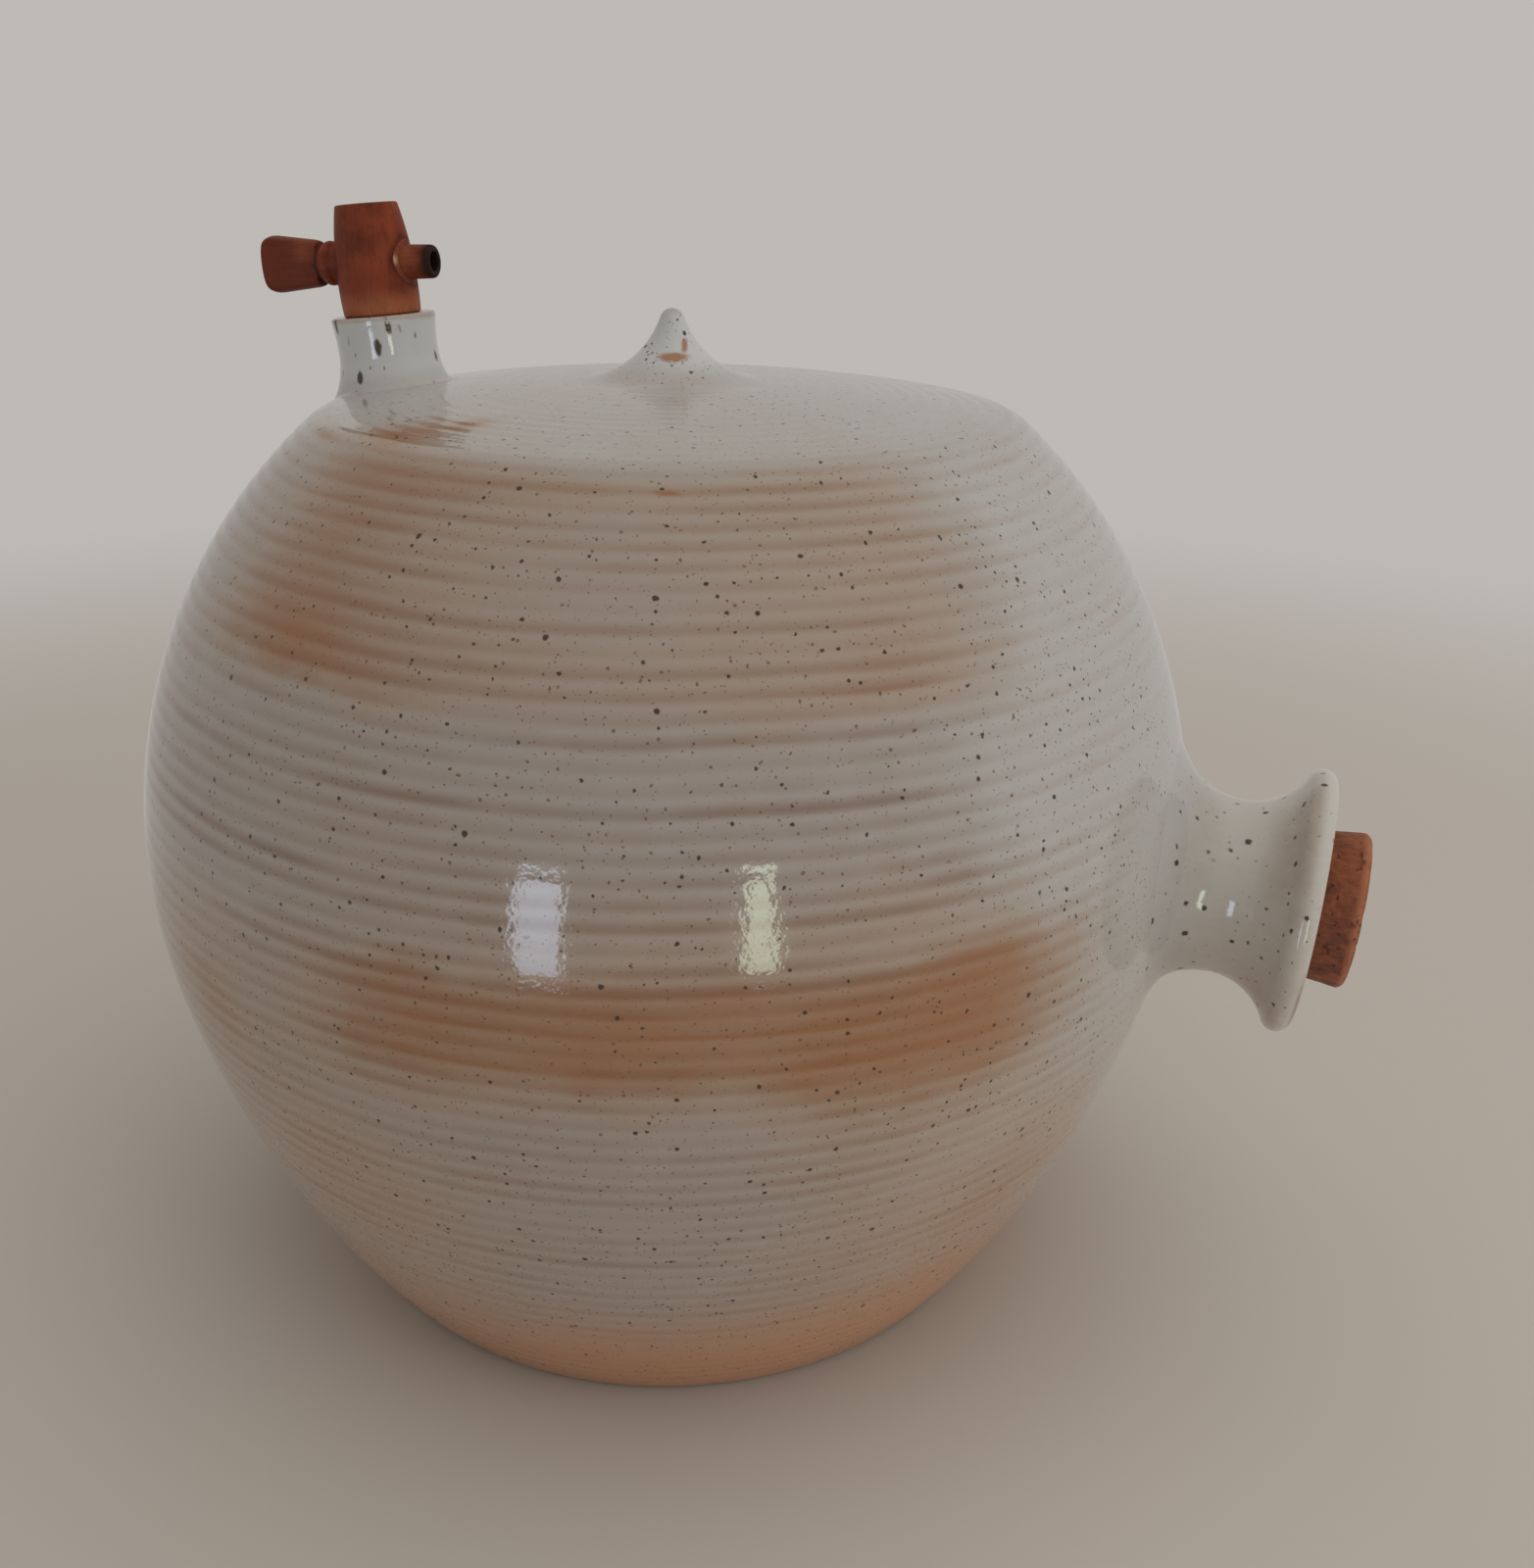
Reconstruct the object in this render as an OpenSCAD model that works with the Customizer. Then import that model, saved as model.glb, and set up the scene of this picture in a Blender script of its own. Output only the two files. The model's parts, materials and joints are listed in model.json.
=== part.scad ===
// Stoneware vinegar crock with a corked filler neck on its flank
// and a wooden tap in a collar near the edge of its crown.
// It stands on its foot: the foot's centre is the origin, the neck points along +X.

/* [Crock] */
// Diameter of the flat foot
base_d = 187; // [160:1:210]
// Diameter of the belly, the widest part
belly_d = 280; // [260:1:310]
// Height of the belly above the foot
belly_z = 127; // [110:1:140]
// How far the flank's round runs on below the belly
bulge_drop = 33; // [28:1:40]
// Height of the crown in its middle, under the peak
crown_z = 243; // [230:1:250]
// Diameter of the crown, out to where it would meet the flank in an edge
crown_d = 177; // [165:1:190]
// Radius of the shallow crown
crown_r = 560; // [400:10:800]
// Rounding between the flank and the crown
shoulder_r = 14; // [11:0.5:18]
// Thickness of the flank and the crown
wall = 7; // [5:0.5:9]
// Thickness of the floor
floor_t = 9; // [6:0.5:12]
// Bevel round the foot
foot_bevel = 2; // [1:0.25:3]

/* [Peak] */
// Height of the peak above the crown
peak_h = 17; // [12:0.5:22]
// Rounding of the peak's tip
peak_tip_r = 3.2; // [2.5:0.1:4.5]
// Radius of the hollow flare from the crown to the tip
peak_flare_r = 24; // [18:1:30]

/* [Filler neck] */
// Height at which the neck's axis leaves the belly
neck_z = 125; // [115:1:135]
// Angle at which the neck droops, in degrees
neck_droop = 3.5; // [0:0.5:6]
// Outside diameter of the neck at its waist
neck_waist_d = 45; // [40:0.5:50]
// Distance from the belly to the waist
neck_waist_at = 12; // [10:0.5:14]
// Distance from the belly to the end of the lip
neck_reach = 33; // [30:0.5:37]
// Outside diameter of the lip
lip_d = 67.5; // [62:0.5:72]
// Rounding of the lip
lip_r = 3.5; // [2.8:0.1:3.8]
// Thickness of the neck at its waist
neck_wall = 6; // [5:0.25:6.5]
// Radius of the flare from the waist down to the belly
neck_root_r = 20; // [18:0.5:24]

/* [Filler cork] */
// How far the cork stands out past the lip
cork_proud = 10.5; // [8:0.5:14]
// How far the cork reaches in past the neck's waist
cork_below_waist = 3; // [1:0.5:6]
// Growth of the cork's radius along its length
cork_taper = 0.115; // [0.08:0.005:0.13]
// Bevel round the cork's outer end
cork_bevel = 1.2; // [0.6:0.1:2]
// Gap between the cork and its seat in the neck
cork_gap = 0.06; // [0.04:0.01:0.1]

/* [Tap collar] */
// Distance from the crock's axis to the collar
collar_offset = 78; // [70:1:80]
// Angle of the collar past straight opposite the neck, in degrees
collar_swing = 5; // [0:1:15]
// Outward lean of the collar, in degrees
collar_lean = 5.5; // [3:0.5:8]
// Height of the collar's rim above the crown
collar_h = 18.2; // [15:0.1:20]
// Outside diameter of the collar at its waist
collar_waist_d = 25.8; // [24:0.2:28]
// Height of the waist above the crown
collar_waist_at = 9.5; // [8:0.5:11]
// Radius of the hollow side above the waist
collar_rim_curve_r = 45; // [35:1:60]
// Radius of the hollow side below the waist
collar_foot_curve_r = 24; // [20:1:30]
// Rounding of the collar's rim
collar_rim_r = 1.3; // [0.8:0.1:1.6]
// Diameter of the bore through the collar and the crown
collar_bore_d = 19; // [18:0.5:20]

/* [Tap] */
// Height of the tap above the collar's rim
tap_h = 27.5; // [25:0.5:32]
// Widest diameter of the tap
tap_d = 20.4; // [19:0.2:22]
// Height of its widest place above the rim
tap_belly_at = 7; // [5:0.5:10]
// Diameter of its flat top
tap_top_d = 15.8; // [13:0.2:17]
// Diameter of the tail that goes down into the crock
tail_d = 12.8; // [11:0.2:13.6]
// Diameter of the tail's inner end
tail_tip_d = 10.6; // [9:0.2:10.8]
// How far the tail reaches past the inside of the crown
tail_reach = 8; // [5:0.5:14]
// Diameter of the bore that the vinegar runs through
flow_d = 5; // [4:0.1:5.2]
// Length of the cork sleeve round the tail
sleeve_len = 21; // [18:0.5:22]
// How far the sleeve's top lies below the collar's rim
sleeve_sunk = 0.4; // [0.2:0.1:1]
// Gap all round between pieces that turn or slide in each other
fit_gap = 0.05; // [0.03:0.01:0.08]

/* [Key] */
// Height of the key's axis above the collar's rim
key_at = 13; // [12:0.5:15]
// Angle by which the handle's end is raised from square to the tap, in degrees
key_tilt = 3; // [0:0.5:4]
// Diameter of the plug where it enters the tap
plug_d = 9.6; // [9.4:0.2:10.6]
// Diameter of the spout at its open end
spout_d = 8.3; // [8:0.1:9]
// Distance from the tap's axis to the end of the spout
spout_reach = 17; // [14:0.5:24]
// Thickness of the cork lining at the thick end of the plug
liner_t = 0.9; // [0.6:0.1:1.2]
// Diameter of the bead behind the handle
bead_d = 11.2; // [10.6:0.2:12.4]
// Length of the bead
bead_len = 4; // [3.5:0.5:6]
// Diameter of the groove between bead and handle
groove_d = 9.2; // [8:0.2:10]
// Width of the groove
groove_len = 0.8; // [0.5:0.1:1.2]
// Length of the handle
handle_len = 16; // [14:0.5:24]
// Width of the handle at the groove
handle_root_w = 11.6; // [10:0.2:12.4]
// Width of the handle at its end
handle_end_w = 14.6; // [13:0.2:18]
// Thickness of the handle
handle_t = 7; // [5:0.5:9]
// Rounding of the handle's corners
handle_corner_r = 2.75; // [2:0.25:4]

/* [Hidden] */
$fn = 96;
// Segments of the crock's large arcs, so that thin edges on them come out true
arc_fn = 720;

stoneware = [0.80, 0.79, 0.75];
cork = [0.58, 0.36, 0.22];
pale_cork = [0.72, 0.55, 0.36];
red_wood = [0.50, 0.21, 0.11];
dark_wood = [0.44, 0.18, 0.10];

// Spare length of a cutting tool past the face that it cuts
past = 1;

base_r = base_d / 2;
belly_r = belly_d / 2;
crown_mid = [0, crown_z - crown_r];
crown_edge = [crown_d / 2, crown_height(crown_d / 2)];
// The flank's round is upright at the belly and runs up to the edge of the crown
round_in = belly_r - crown_edge[0];
round_up = crown_edge[1] - belly_z;
round_r = (round_in * round_in + round_up * round_up) / (2 * round_in);
round_mid = [belly_r - round_r, belly_z];
// The lower flank is an arc that leaves the round smoothly and ends at the foot
bulge_way = [sqrt(round_r * round_r - bulge_drop * bulge_drop), -bulge_drop] / round_r;
foot_way = [base_r, 0] - round_mid;
flank_longer = (foot_way * foot_way - round_r * round_r) / (2 * (round_r - foot_way * bulge_way));
flank_r = round_r + flank_longer;
flank_mid = round_mid - flank_longer * bulge_way;
shoulder = meeting(round_mid, round_r - shoulder_r, crown_mid, crown_r - shoulder_r);
// Bowl and belly are joined where the round ends, shoulder and crown at the shoulder's centre
belly_from_z = belly_z - bulge_drop;
crown_from_z = shoulder[1];

peak_tip = [0, crown_z + peak_h - peak_tip_r];
peak_flare = meeting(peak_tip, peak_tip_r + peak_flare_r, crown_mid, crown_r + peak_flare_r);

neck_waist_r = neck_waist_d / 2;
neck_bore_r = neck_waist_r - neck_wall;
lip_mid = [lip_d / 2 - lip_r, neck_reach - lip_r];
// The flare to the lip is an arc that starts at the waist and meets the lip's rounding
lip_dx = lip_mid[0] - neck_waist_r;
lip_dz = lip_mid[1] - neck_waist_at;
neck_flare_r = (lip_dx * lip_dx + lip_dz * lip_dz - lip_r * lip_r) / (2 * (lip_dx + lip_r));
neck_flare_mid = [neck_waist_r + neck_flare_r, neck_waist_at];
// The neck starts this far inside the belly, so that the flank trims it all round
neck_start = -neck_root_r / 2;
// Belly and shoulder are joined above the neck
shoulder_from_z = neck_z + neck_waist_r + neck_root_r / 2;

// The cork's cone passes the throat of the mouth at the width of the gap
cork_cos = 1 / sqrt(1 + cork_taper * cork_taper);
cork_r_at_waist = neck_flare_mid[0] - (neck_flare_r + neck_wall + cork_gap) / cork_cos;
cork_from = neck_waist_at - cork_below_waist;
cork_to = neck_reach + cork_proud;

collar_waist_r = collar_waist_d / 2;
collar_bore_r = collar_bore_d / 2;
collar_rim_rise = collar_h - collar_waist_at;
collar_rim_outer_r = collar_waist_r + collar_rim_curve_r
    - sqrt(collar_rim_curve_r * collar_rim_curve_r - collar_rim_rise * collar_rim_rise);
// The collar starts this far under the crown, so that crown and shoulder trim it all round
collar_start = -shoulder_r;
crown_at_collar = crown_height(collar_offset);

tap_r = tap_d / 2;
tap_inset = tap_r - tap_top_d / 2;
tap_rise = tap_h - tap_belly_at;
tap_curve_r = (tap_inset * tap_inset + tap_rise * tap_rise) / (2 * tap_inset);
tail_r = tail_d / 2;
tail_end = -wall - tail_reach;
sleeve_end = collar_h - sleeve_sunk - sleeve_len;
key_z = collar_h + key_at;

plug_taper = (plug_d - spout_d) / (2 * (tap_r + spout_reach));
liner_r = plug_d / 2 + fit_gap + liner_t;
bead_from = tap_r + fit_gap;
groove_from = bead_from + bead_len;
handle_from = groove_from + groove_len;
handle_to = handle_from + handle_len;

// Point at two given distances from an upper and a lower point, on their outer side
function meeting(upper, upper_far, lower, lower_far) =
    let (
        step = lower - upper,
        way = step / norm(step),
        along = (upper_far * upper_far - lower_far * lower_far + step * step) / (2 * norm(step)),
        aside = sqrt(upper_far * upper_far - along * along)
    )
    upper + along * way + aside * [-way[1], way[0]];

// Height of the crown at a distance from the crock's axis
function crown_height(x) = crown_mid[1] + sqrt(crown_r * crown_r - x * x);

// Radius of the key's plug at a distance from the tap's axis, growing towards the handle
function plug_r(x) = spout_d / 2 + plug_taper * (spout_reach + x);

// Radius of the cork at a distance from the belly
function cork_r(z) = cork_r_at_waist + cork_taper * (z - neck_waist_at);

// Half section of the crock, drawn in from its outside
module crock_section(inset, floor_z) {
    round_inset_r = round_r - inset;
    bulge_z = belly_z + bulge_way[1] * round_inset_r;
    shoulder_z = belly_z + (shoulder[1] - belly_z) * round_inset_r / (round_r - shoulder_r);
    crown_out = (crown_r - inset) / (crown_r - shoulder_r);
    intersection() {
        translate(flank_mid)
            circle(r = flank_r - inset, $fn = arc_fn);
        translate([0, floor_z])
            square([belly_r, bulge_z - floor_z]);
    }
    intersection() {
        translate(round_mid)
            circle(r = round_inset_r, $fn = arc_fn);
        translate([0, bulge_z])
            square([belly_r, shoulder_z - bulge_z]);
    }
    intersection() {
        translate(shoulder)
            circle(r = shoulder_r - inset, $fn = arc_fn);
        translate([0, belly_z])
            square([belly_r, crown_z]);
    }
    intersection() {
        translate(crown_mid)
            circle(r = crown_r - inset, $fn = arc_fn);
        translate([0, belly_z])
            square([shoulder[0] * crown_out, crown_z - belly_z]);
    }
}

// Half section of the crock's outside, filled, with the bevel round the foot
module crock_outline() {
    difference() {
        crock_section(0, 0);
        polygon([
            [base_r - foot_bevel, 0],
            [base_r + past, 0],
            [base_r + past, foot_bevel + past]
        ]);
    }
}

// Half section of the peak in the middle of the crown, with a hollow flare and a round tip
module peak_section() {
    difference() {
        polygon([
            [0, crown_z - wall / 2],
            [peak_flare[0], crown_z - wall / 2],
            peak_flare,
            peak_tip
        ]);
        translate(peak_flare)
            circle(r = peak_flare_r);
    }
    intersection() {
        translate(peak_tip)
            circle(r = peak_tip_r);
        translate([0, crown_z])
            square([peak_tip_r, peak_h]);
    }
}

// Half section of the crock's wall, floor and peak
module wall_section() {
    difference() {
        union() {
            crock_outline();
            peak_section();
        }
        crock_section(wall, floor_t);
    }
}

// The crock's wall between two heights
module wall_band(from_z, to_z) {
    rotate_extrude()
        intersection() {
            wall_section();
            translate([0, from_z])
                square([belly_r + past, to_z - from_z]);
        }
}

// The crock's outside, filled
module crock_solid() {
    rotate_extrude()
        crock_outline();
}

// Puts the neck's own axis, which is upright, on the flank
module at_neck() {
    translate([belly_r, 0, neck_z])
        rotate([0, 90 + neck_droop, 0])
            children();
}

// Puts the collar's own axis, which is upright, on the crown
module at_collar() {
    rotate([0, 0, 180 + collar_swing])
        translate([collar_offset, 0, crown_at_collar])
            rotate([0, collar_lean, 0])
                children();
}

// Puts an upright axis along the key, from the spout towards the handle
module at_key() {
    translate([0, 0, key_z])
        rotate([0, 90 - key_tilt, 0])
            children();
}

module crock_bowl() {
    color(stoneware)
        wall_band(0, belly_from_z);
}

module crock_belly() {
    color(stoneware)
        difference() {
            wall_band(belly_from_z, shoulder_from_z);
            at_neck()
                translate([0, 0, -belly_r])
                    cylinder(r = neck_bore_r, h = belly_r + neck_waist_at);
        }
}

module crock_shoulder() {
    color(stoneware)
        wall_band(shoulder_from_z, crown_from_z);
}

module crock_crown() {
    color(stoneware)
        difference() {
            wall_band(crown_from_z, crown_z + peak_h + past);
            at_collar()
                translate([0, 0, tail_end])
                    cylinder(r = collar_bore_r, h = collar_h - tail_end);
        }
}

// Half section of the neck, with its axis upright and the belly at height 0
module neck_section() {
    difference() {
        translate([neck_bore_r, neck_start])
            square([lip_mid[0] - neck_bore_r, lip_mid[1] - neck_start]);
        intersection() {
            translate([neck_waist_r + neck_root_r, neck_waist_at])
                circle(r = neck_root_r);
            translate([0, neck_start - past])
                square([lip_d, neck_waist_at - neck_start + past]);
        }
        intersection() {
            translate(neck_flare_mid)
                circle(r = neck_flare_r);
            translate([0, neck_waist_at])
                square([lip_d, neck_reach]);
        }
        difference() {
            translate([0, neck_waist_at])
                square([lip_d, neck_reach]);
            translate(neck_flare_mid)
                circle(r = neck_flare_r + neck_wall);
        }
    }
    translate(lip_mid)
        circle(r = lip_r);
}

module filler_neck() {
    color(stoneware)
        difference() {
            at_neck()
                rotate_extrude()
                    neck_section();
            crock_solid();
        }
}

module filler_cork() {
    color(cork)
        at_neck() {
            translate([0, 0, cork_from])
                cylinder(r1 = cork_r(cork_from), r2 = cork_r(cork_to - cork_bevel),
                         h = cork_to - cork_bevel - cork_from);
            translate([0, 0, cork_to - cork_bevel])
                cylinder(r1 = cork_r(cork_to - cork_bevel), r2 = cork_r(cork_to) - cork_bevel,
                         h = cork_bevel);
        }
}

// Half section of the collar, with its axis upright and the crown at height 0
module collar_section() {
    rim_mid_x = collar_rim_outer_r - collar_rim_r;
    difference() {
        translate([collar_bore_r, collar_start])
            square([collar_waist_r, collar_h - collar_rim_r - collar_start]);
        intersection() {
            translate([collar_waist_r + collar_rim_curve_r, collar_waist_at])
                circle(r = collar_rim_curve_r);
            translate([0, collar_waist_at])
                square([2 * collar_waist_r, collar_h]);
        }
        intersection() {
            translate([collar_waist_r + collar_foot_curve_r, collar_waist_at])
                circle(r = collar_foot_curve_r);
            translate([0, collar_start - past])
                square([2 * collar_waist_r, collar_waist_at - collar_start + past]);
        }
    }
    translate([rim_mid_x, collar_h - collar_rim_r])
        circle(r = collar_rim_r);
    translate([collar_bore_r, collar_h - 2 * collar_rim_r])
        square([rim_mid_x - collar_bore_r, 2 * collar_rim_r]);
}

module tap_collar() {
    color(stoneware)
        difference() {
            at_collar()
                rotate_extrude()
                    collar_section();
            crock_solid();
        }
}

module tap_cork_sleeve() {
    color(pale_cork)
        at_collar()
            translate([0, 0, sleeve_end])
                difference() {
                    cylinder(r = collar_bore_r - fit_gap, h = sleeve_len);
                    translate([0, 0, -past])
                        cylinder(r = tail_r + fit_gap, h = sleeve_len + 2 * past);
                }
}

// The tap's barrel above the collar, filled
module tap_barrel() {
    translate([0, 0, collar_h])
        rotate_extrude()
            intersection() {
                translate([tap_r - tap_curve_r, tap_belly_at])
                    circle(r = tap_curve_r);
                square([tap_r, tap_h]);
            }
}

module tap_body() {
    color(red_wood)
        at_collar()
            difference() {
                union() {
                    tap_barrel();
                    translate([0, 0, sleeve_end])
                        cylinder(r = tail_r, h = collar_h - sleeve_end);
                    translate([0, 0, tail_end])
                        cylinder(r1 = tail_tip_d / 2, r2 = tail_r, h = sleeve_end - tail_end);
                }
                at_key()
                    cylinder(r = liner_r, h = 4 * tap_r, center = true);
                translate([0, 0, tail_end - past])
                    cylinder(d = flow_d, h = key_z - tail_end + past);
            }
}

module key_cork_liner() {
    color(pale_cork)
        at_collar()
            difference() {
                intersection() {
                    at_key()
                        cylinder(r = liner_r, h = 4 * tap_r, center = true);
                    tap_barrel();
                }
                at_key()
                    translate([0, 0, -2 * tap_r])
                        cylinder(r1 = plug_r(-2 * tap_r) + fit_gap, r2 = plug_r(2 * tap_r) + fit_gap,
                                 h = 4 * tap_r);
                translate([0, 0, collar_h])
                    cylinder(d = flow_d, h = key_at);
            }
}

// Round bead that stops the key against the tap
module bead() {
    bead_round_r = bead_len / 2;
    rotate_extrude() {
        translate([bead_d / 2 - bead_round_r, bead_from + bead_round_r])
            circle(r = bead_round_r);
        translate([0, bead_from])
            square([bead_d / 2 - bead_round_r, bead_len]);
    }
}

// Outline of the handle, turned round the key's axis
module handle_section() {
    corner = [handle_end_w / 2 - handle_corner_r, handle_to - handle_corner_r];
    polygon([
        [0, handle_from],
        [handle_root_w / 2, handle_from],
        [handle_end_w / 2, corner[1]],
        [corner[0], corner[1]],
        [corner[0], handle_to],
        [0, handle_to]
    ]);
    translate(corner)
        circle(r = handle_corner_r);
}

// The handle is turned and then dressed flat on two sides
module handle() {
    intersection() {
        rotate_extrude()
            handle_section();
        translate([-handle_end_w, -handle_t / 2, handle_from])
            cube([2 * handle_end_w, handle_t, handle_len]);
    }
}

module tap_key() {
    color(dark_wood)
        at_collar()
            at_key()
                difference() {
                    union() {
                        translate([0, 0, -spout_reach])
                            cylinder(r1 = plug_r(-spout_reach), r2 = plug_r(bead_from),
                                     h = spout_reach + bead_from);
                        bead();
                        translate([0, 0, groove_from])
                            cylinder(d = groove_d, h = groove_len);
                        handle();
                    }
                    translate([0, 0, -spout_reach - past])
                        cylinder(d = flow_d, h = spout_reach + past);
                    rotate([90, 0, 0])
                        cylinder(d = flow_d, h = plug_d);
                }
}

crock_bowl();
crock_belly();
crock_shoulder();
crock_crown();
filler_neck();
tap_collar();
filler_cork();
tap_cork_sleeve();
tap_body();
key_cork_liner();
tap_key();
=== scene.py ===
import json
import math

import bpy
import numpy as np
from bpy.props import FloatProperty, FloatVectorProperty, IntProperty, PointerProperty
from mathutils import Matrix, Vector, noise
from mathutils.bvhtree import BVHTree


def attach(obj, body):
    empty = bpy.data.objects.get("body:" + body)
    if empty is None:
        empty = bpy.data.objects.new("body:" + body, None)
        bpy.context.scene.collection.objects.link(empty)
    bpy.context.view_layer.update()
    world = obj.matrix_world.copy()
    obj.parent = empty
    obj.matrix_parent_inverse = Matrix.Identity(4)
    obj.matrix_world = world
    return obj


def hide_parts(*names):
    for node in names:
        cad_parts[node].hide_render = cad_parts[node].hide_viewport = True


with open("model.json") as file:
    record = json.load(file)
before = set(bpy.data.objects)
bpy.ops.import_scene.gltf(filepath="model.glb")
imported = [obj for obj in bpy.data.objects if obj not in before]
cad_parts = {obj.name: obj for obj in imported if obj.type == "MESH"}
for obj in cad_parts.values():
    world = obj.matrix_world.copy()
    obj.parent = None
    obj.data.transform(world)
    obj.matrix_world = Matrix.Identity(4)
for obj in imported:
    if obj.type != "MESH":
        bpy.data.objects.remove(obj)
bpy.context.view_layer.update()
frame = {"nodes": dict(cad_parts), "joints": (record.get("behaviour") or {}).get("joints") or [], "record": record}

bl_info = {
    "name": "Vinegar Crock",
    "version": (1, 0, 0),
    "blender": (4, 5, 0),
    "location": "View3D > Sidebar > Crock",
    "description": "Dresses a stoneware vinegar crock with its bung cork and wooden tap",
    "category": "Object",
}

MM = 0.001
JOINTS = {joint["name"]: joint for joint in frame["joints"]}
CROCK_NODES = [node for node in frame["record"]["behaviour"]["bodies"]["crock"]
               if node.startswith("crock_")]
# Columns of vertices round each turned piece
COLUMNS = {"pot": 180, "chamber": 96, "bore": 96, "neck": 128, "collar": 112, "cork": 120,
           "tap": 112, "sleeve": 96, "key": 128, "floor": 96}


# Sizes and colours that a user would change

def length(name, description, mm):
    """Length property that is given in millimetres and kept in metres."""
    return FloatProperty(name=name, description=description, default=mm * MM,
                         precision=5, unit="LENGTH")


def tint(name, description, red, green, blue):
    """Colour property in linear light."""
    return FloatVectorProperty(name=name, description=description, default=(red, green, blue),
                               subtype="COLOR", size=3, min=0.0, max=1.0)


class CrockSizes(bpy.types.PropertyGroup):
    """Sizes of the thrown pot and its throwing rings."""
    base_d: length("Foot", "Diameter of the flat foot", 187)
    belly_d: length("Belly", "Diameter of the widest part", 280)
    belly_z: length("Belly height", "Height of the belly above the foot", 127)
    bulge_drop: length("Bulge drop", "How far the flank's round runs on below the belly", 33)
    crown_z: length("Crown height", "Height of the crown in its middle", 243)
    crown_d: length("Crown", "Diameter at which crown and flank would meet", 177)
    crown_r: length("Crown radius", "Radius of the shallow crown", 560)
    shoulder_r: length("Shoulder", "Rounding between flank and crown", 14)
    wall: length("Wall", "Thickness of flank and crown", 7)
    floor_t: length("Floor", "Thickness of the floor", 9)
    foot_bevel: length("Foot bevel", "Rounding round the foot", 2)
    peak_h: length("Peak", "Height of the peak above the crown", 17)
    peak_tip_r: length("Peak tip", "Rounding of the peak's tip", 3.2)
    peak_flare_r: length("Peak flare", "Radius of the flare from crown to tip", 24)
    row_gap: length("Row gap", "Distance between two rows of the skin", 0.8)
    ring_pitch: length("Ring pitch", "Distance from one throwing ring to the next", 4.5)
    ring_depth: length("Ring depth", "Depth of a throwing ring at the flank", 0.06)
    ring_wander: length("Ring wander", "How far a ring strays up and down", 3.0)
    ring_seed: IntProperty(name="Ring seed", description="Picks how the rings stray", default=4)


class NeckSizes(bpy.types.PropertyGroup):
    """Sizes of the filler neck and its cork."""
    neck_z: length("Height", "Height at which the neck's axis leaves the belly", 125)
    waist_d: length("Waist", "Outside diameter at the waist", 45)
    waist_at: length("Waist distance", "Distance from belly to waist", 12)
    reach: length("Reach", "Distance from belly to the end of the lip", 33)
    lip_d: length("Lip", "Outside diameter of the lip", 67.5)
    lip_r: length("Lip rounding", "Rounding of the lip", 3.5)
    wall: length("Wall", "Thickness at the waist", 6)
    root_r: length("Root", "Radius of the flare from waist to belly", 20)
    root_edge: length("Root edge", "Radius out to which the root is smoothed on the belly", 41)
    root_blend: length("Root blend", "How softly the root runs into the belly", 5.0)
    cork_proud: length("Cork proud", "How far the cork stands out past the lip", 10.5)
    cork_below: length("Cork depth", "How far the cork reaches in past the waist", 3)
    cork_bevel: length("Cork bevel", "Bevel round the cork's outer end", 1.2)
    cork_gap: length("Cork gap", "Gap between cork and seat", 0.06)
    cork_taper: FloatProperty(name="Cork taper", description="Growth of the cork's radius",
                              default=0.115)


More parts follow.
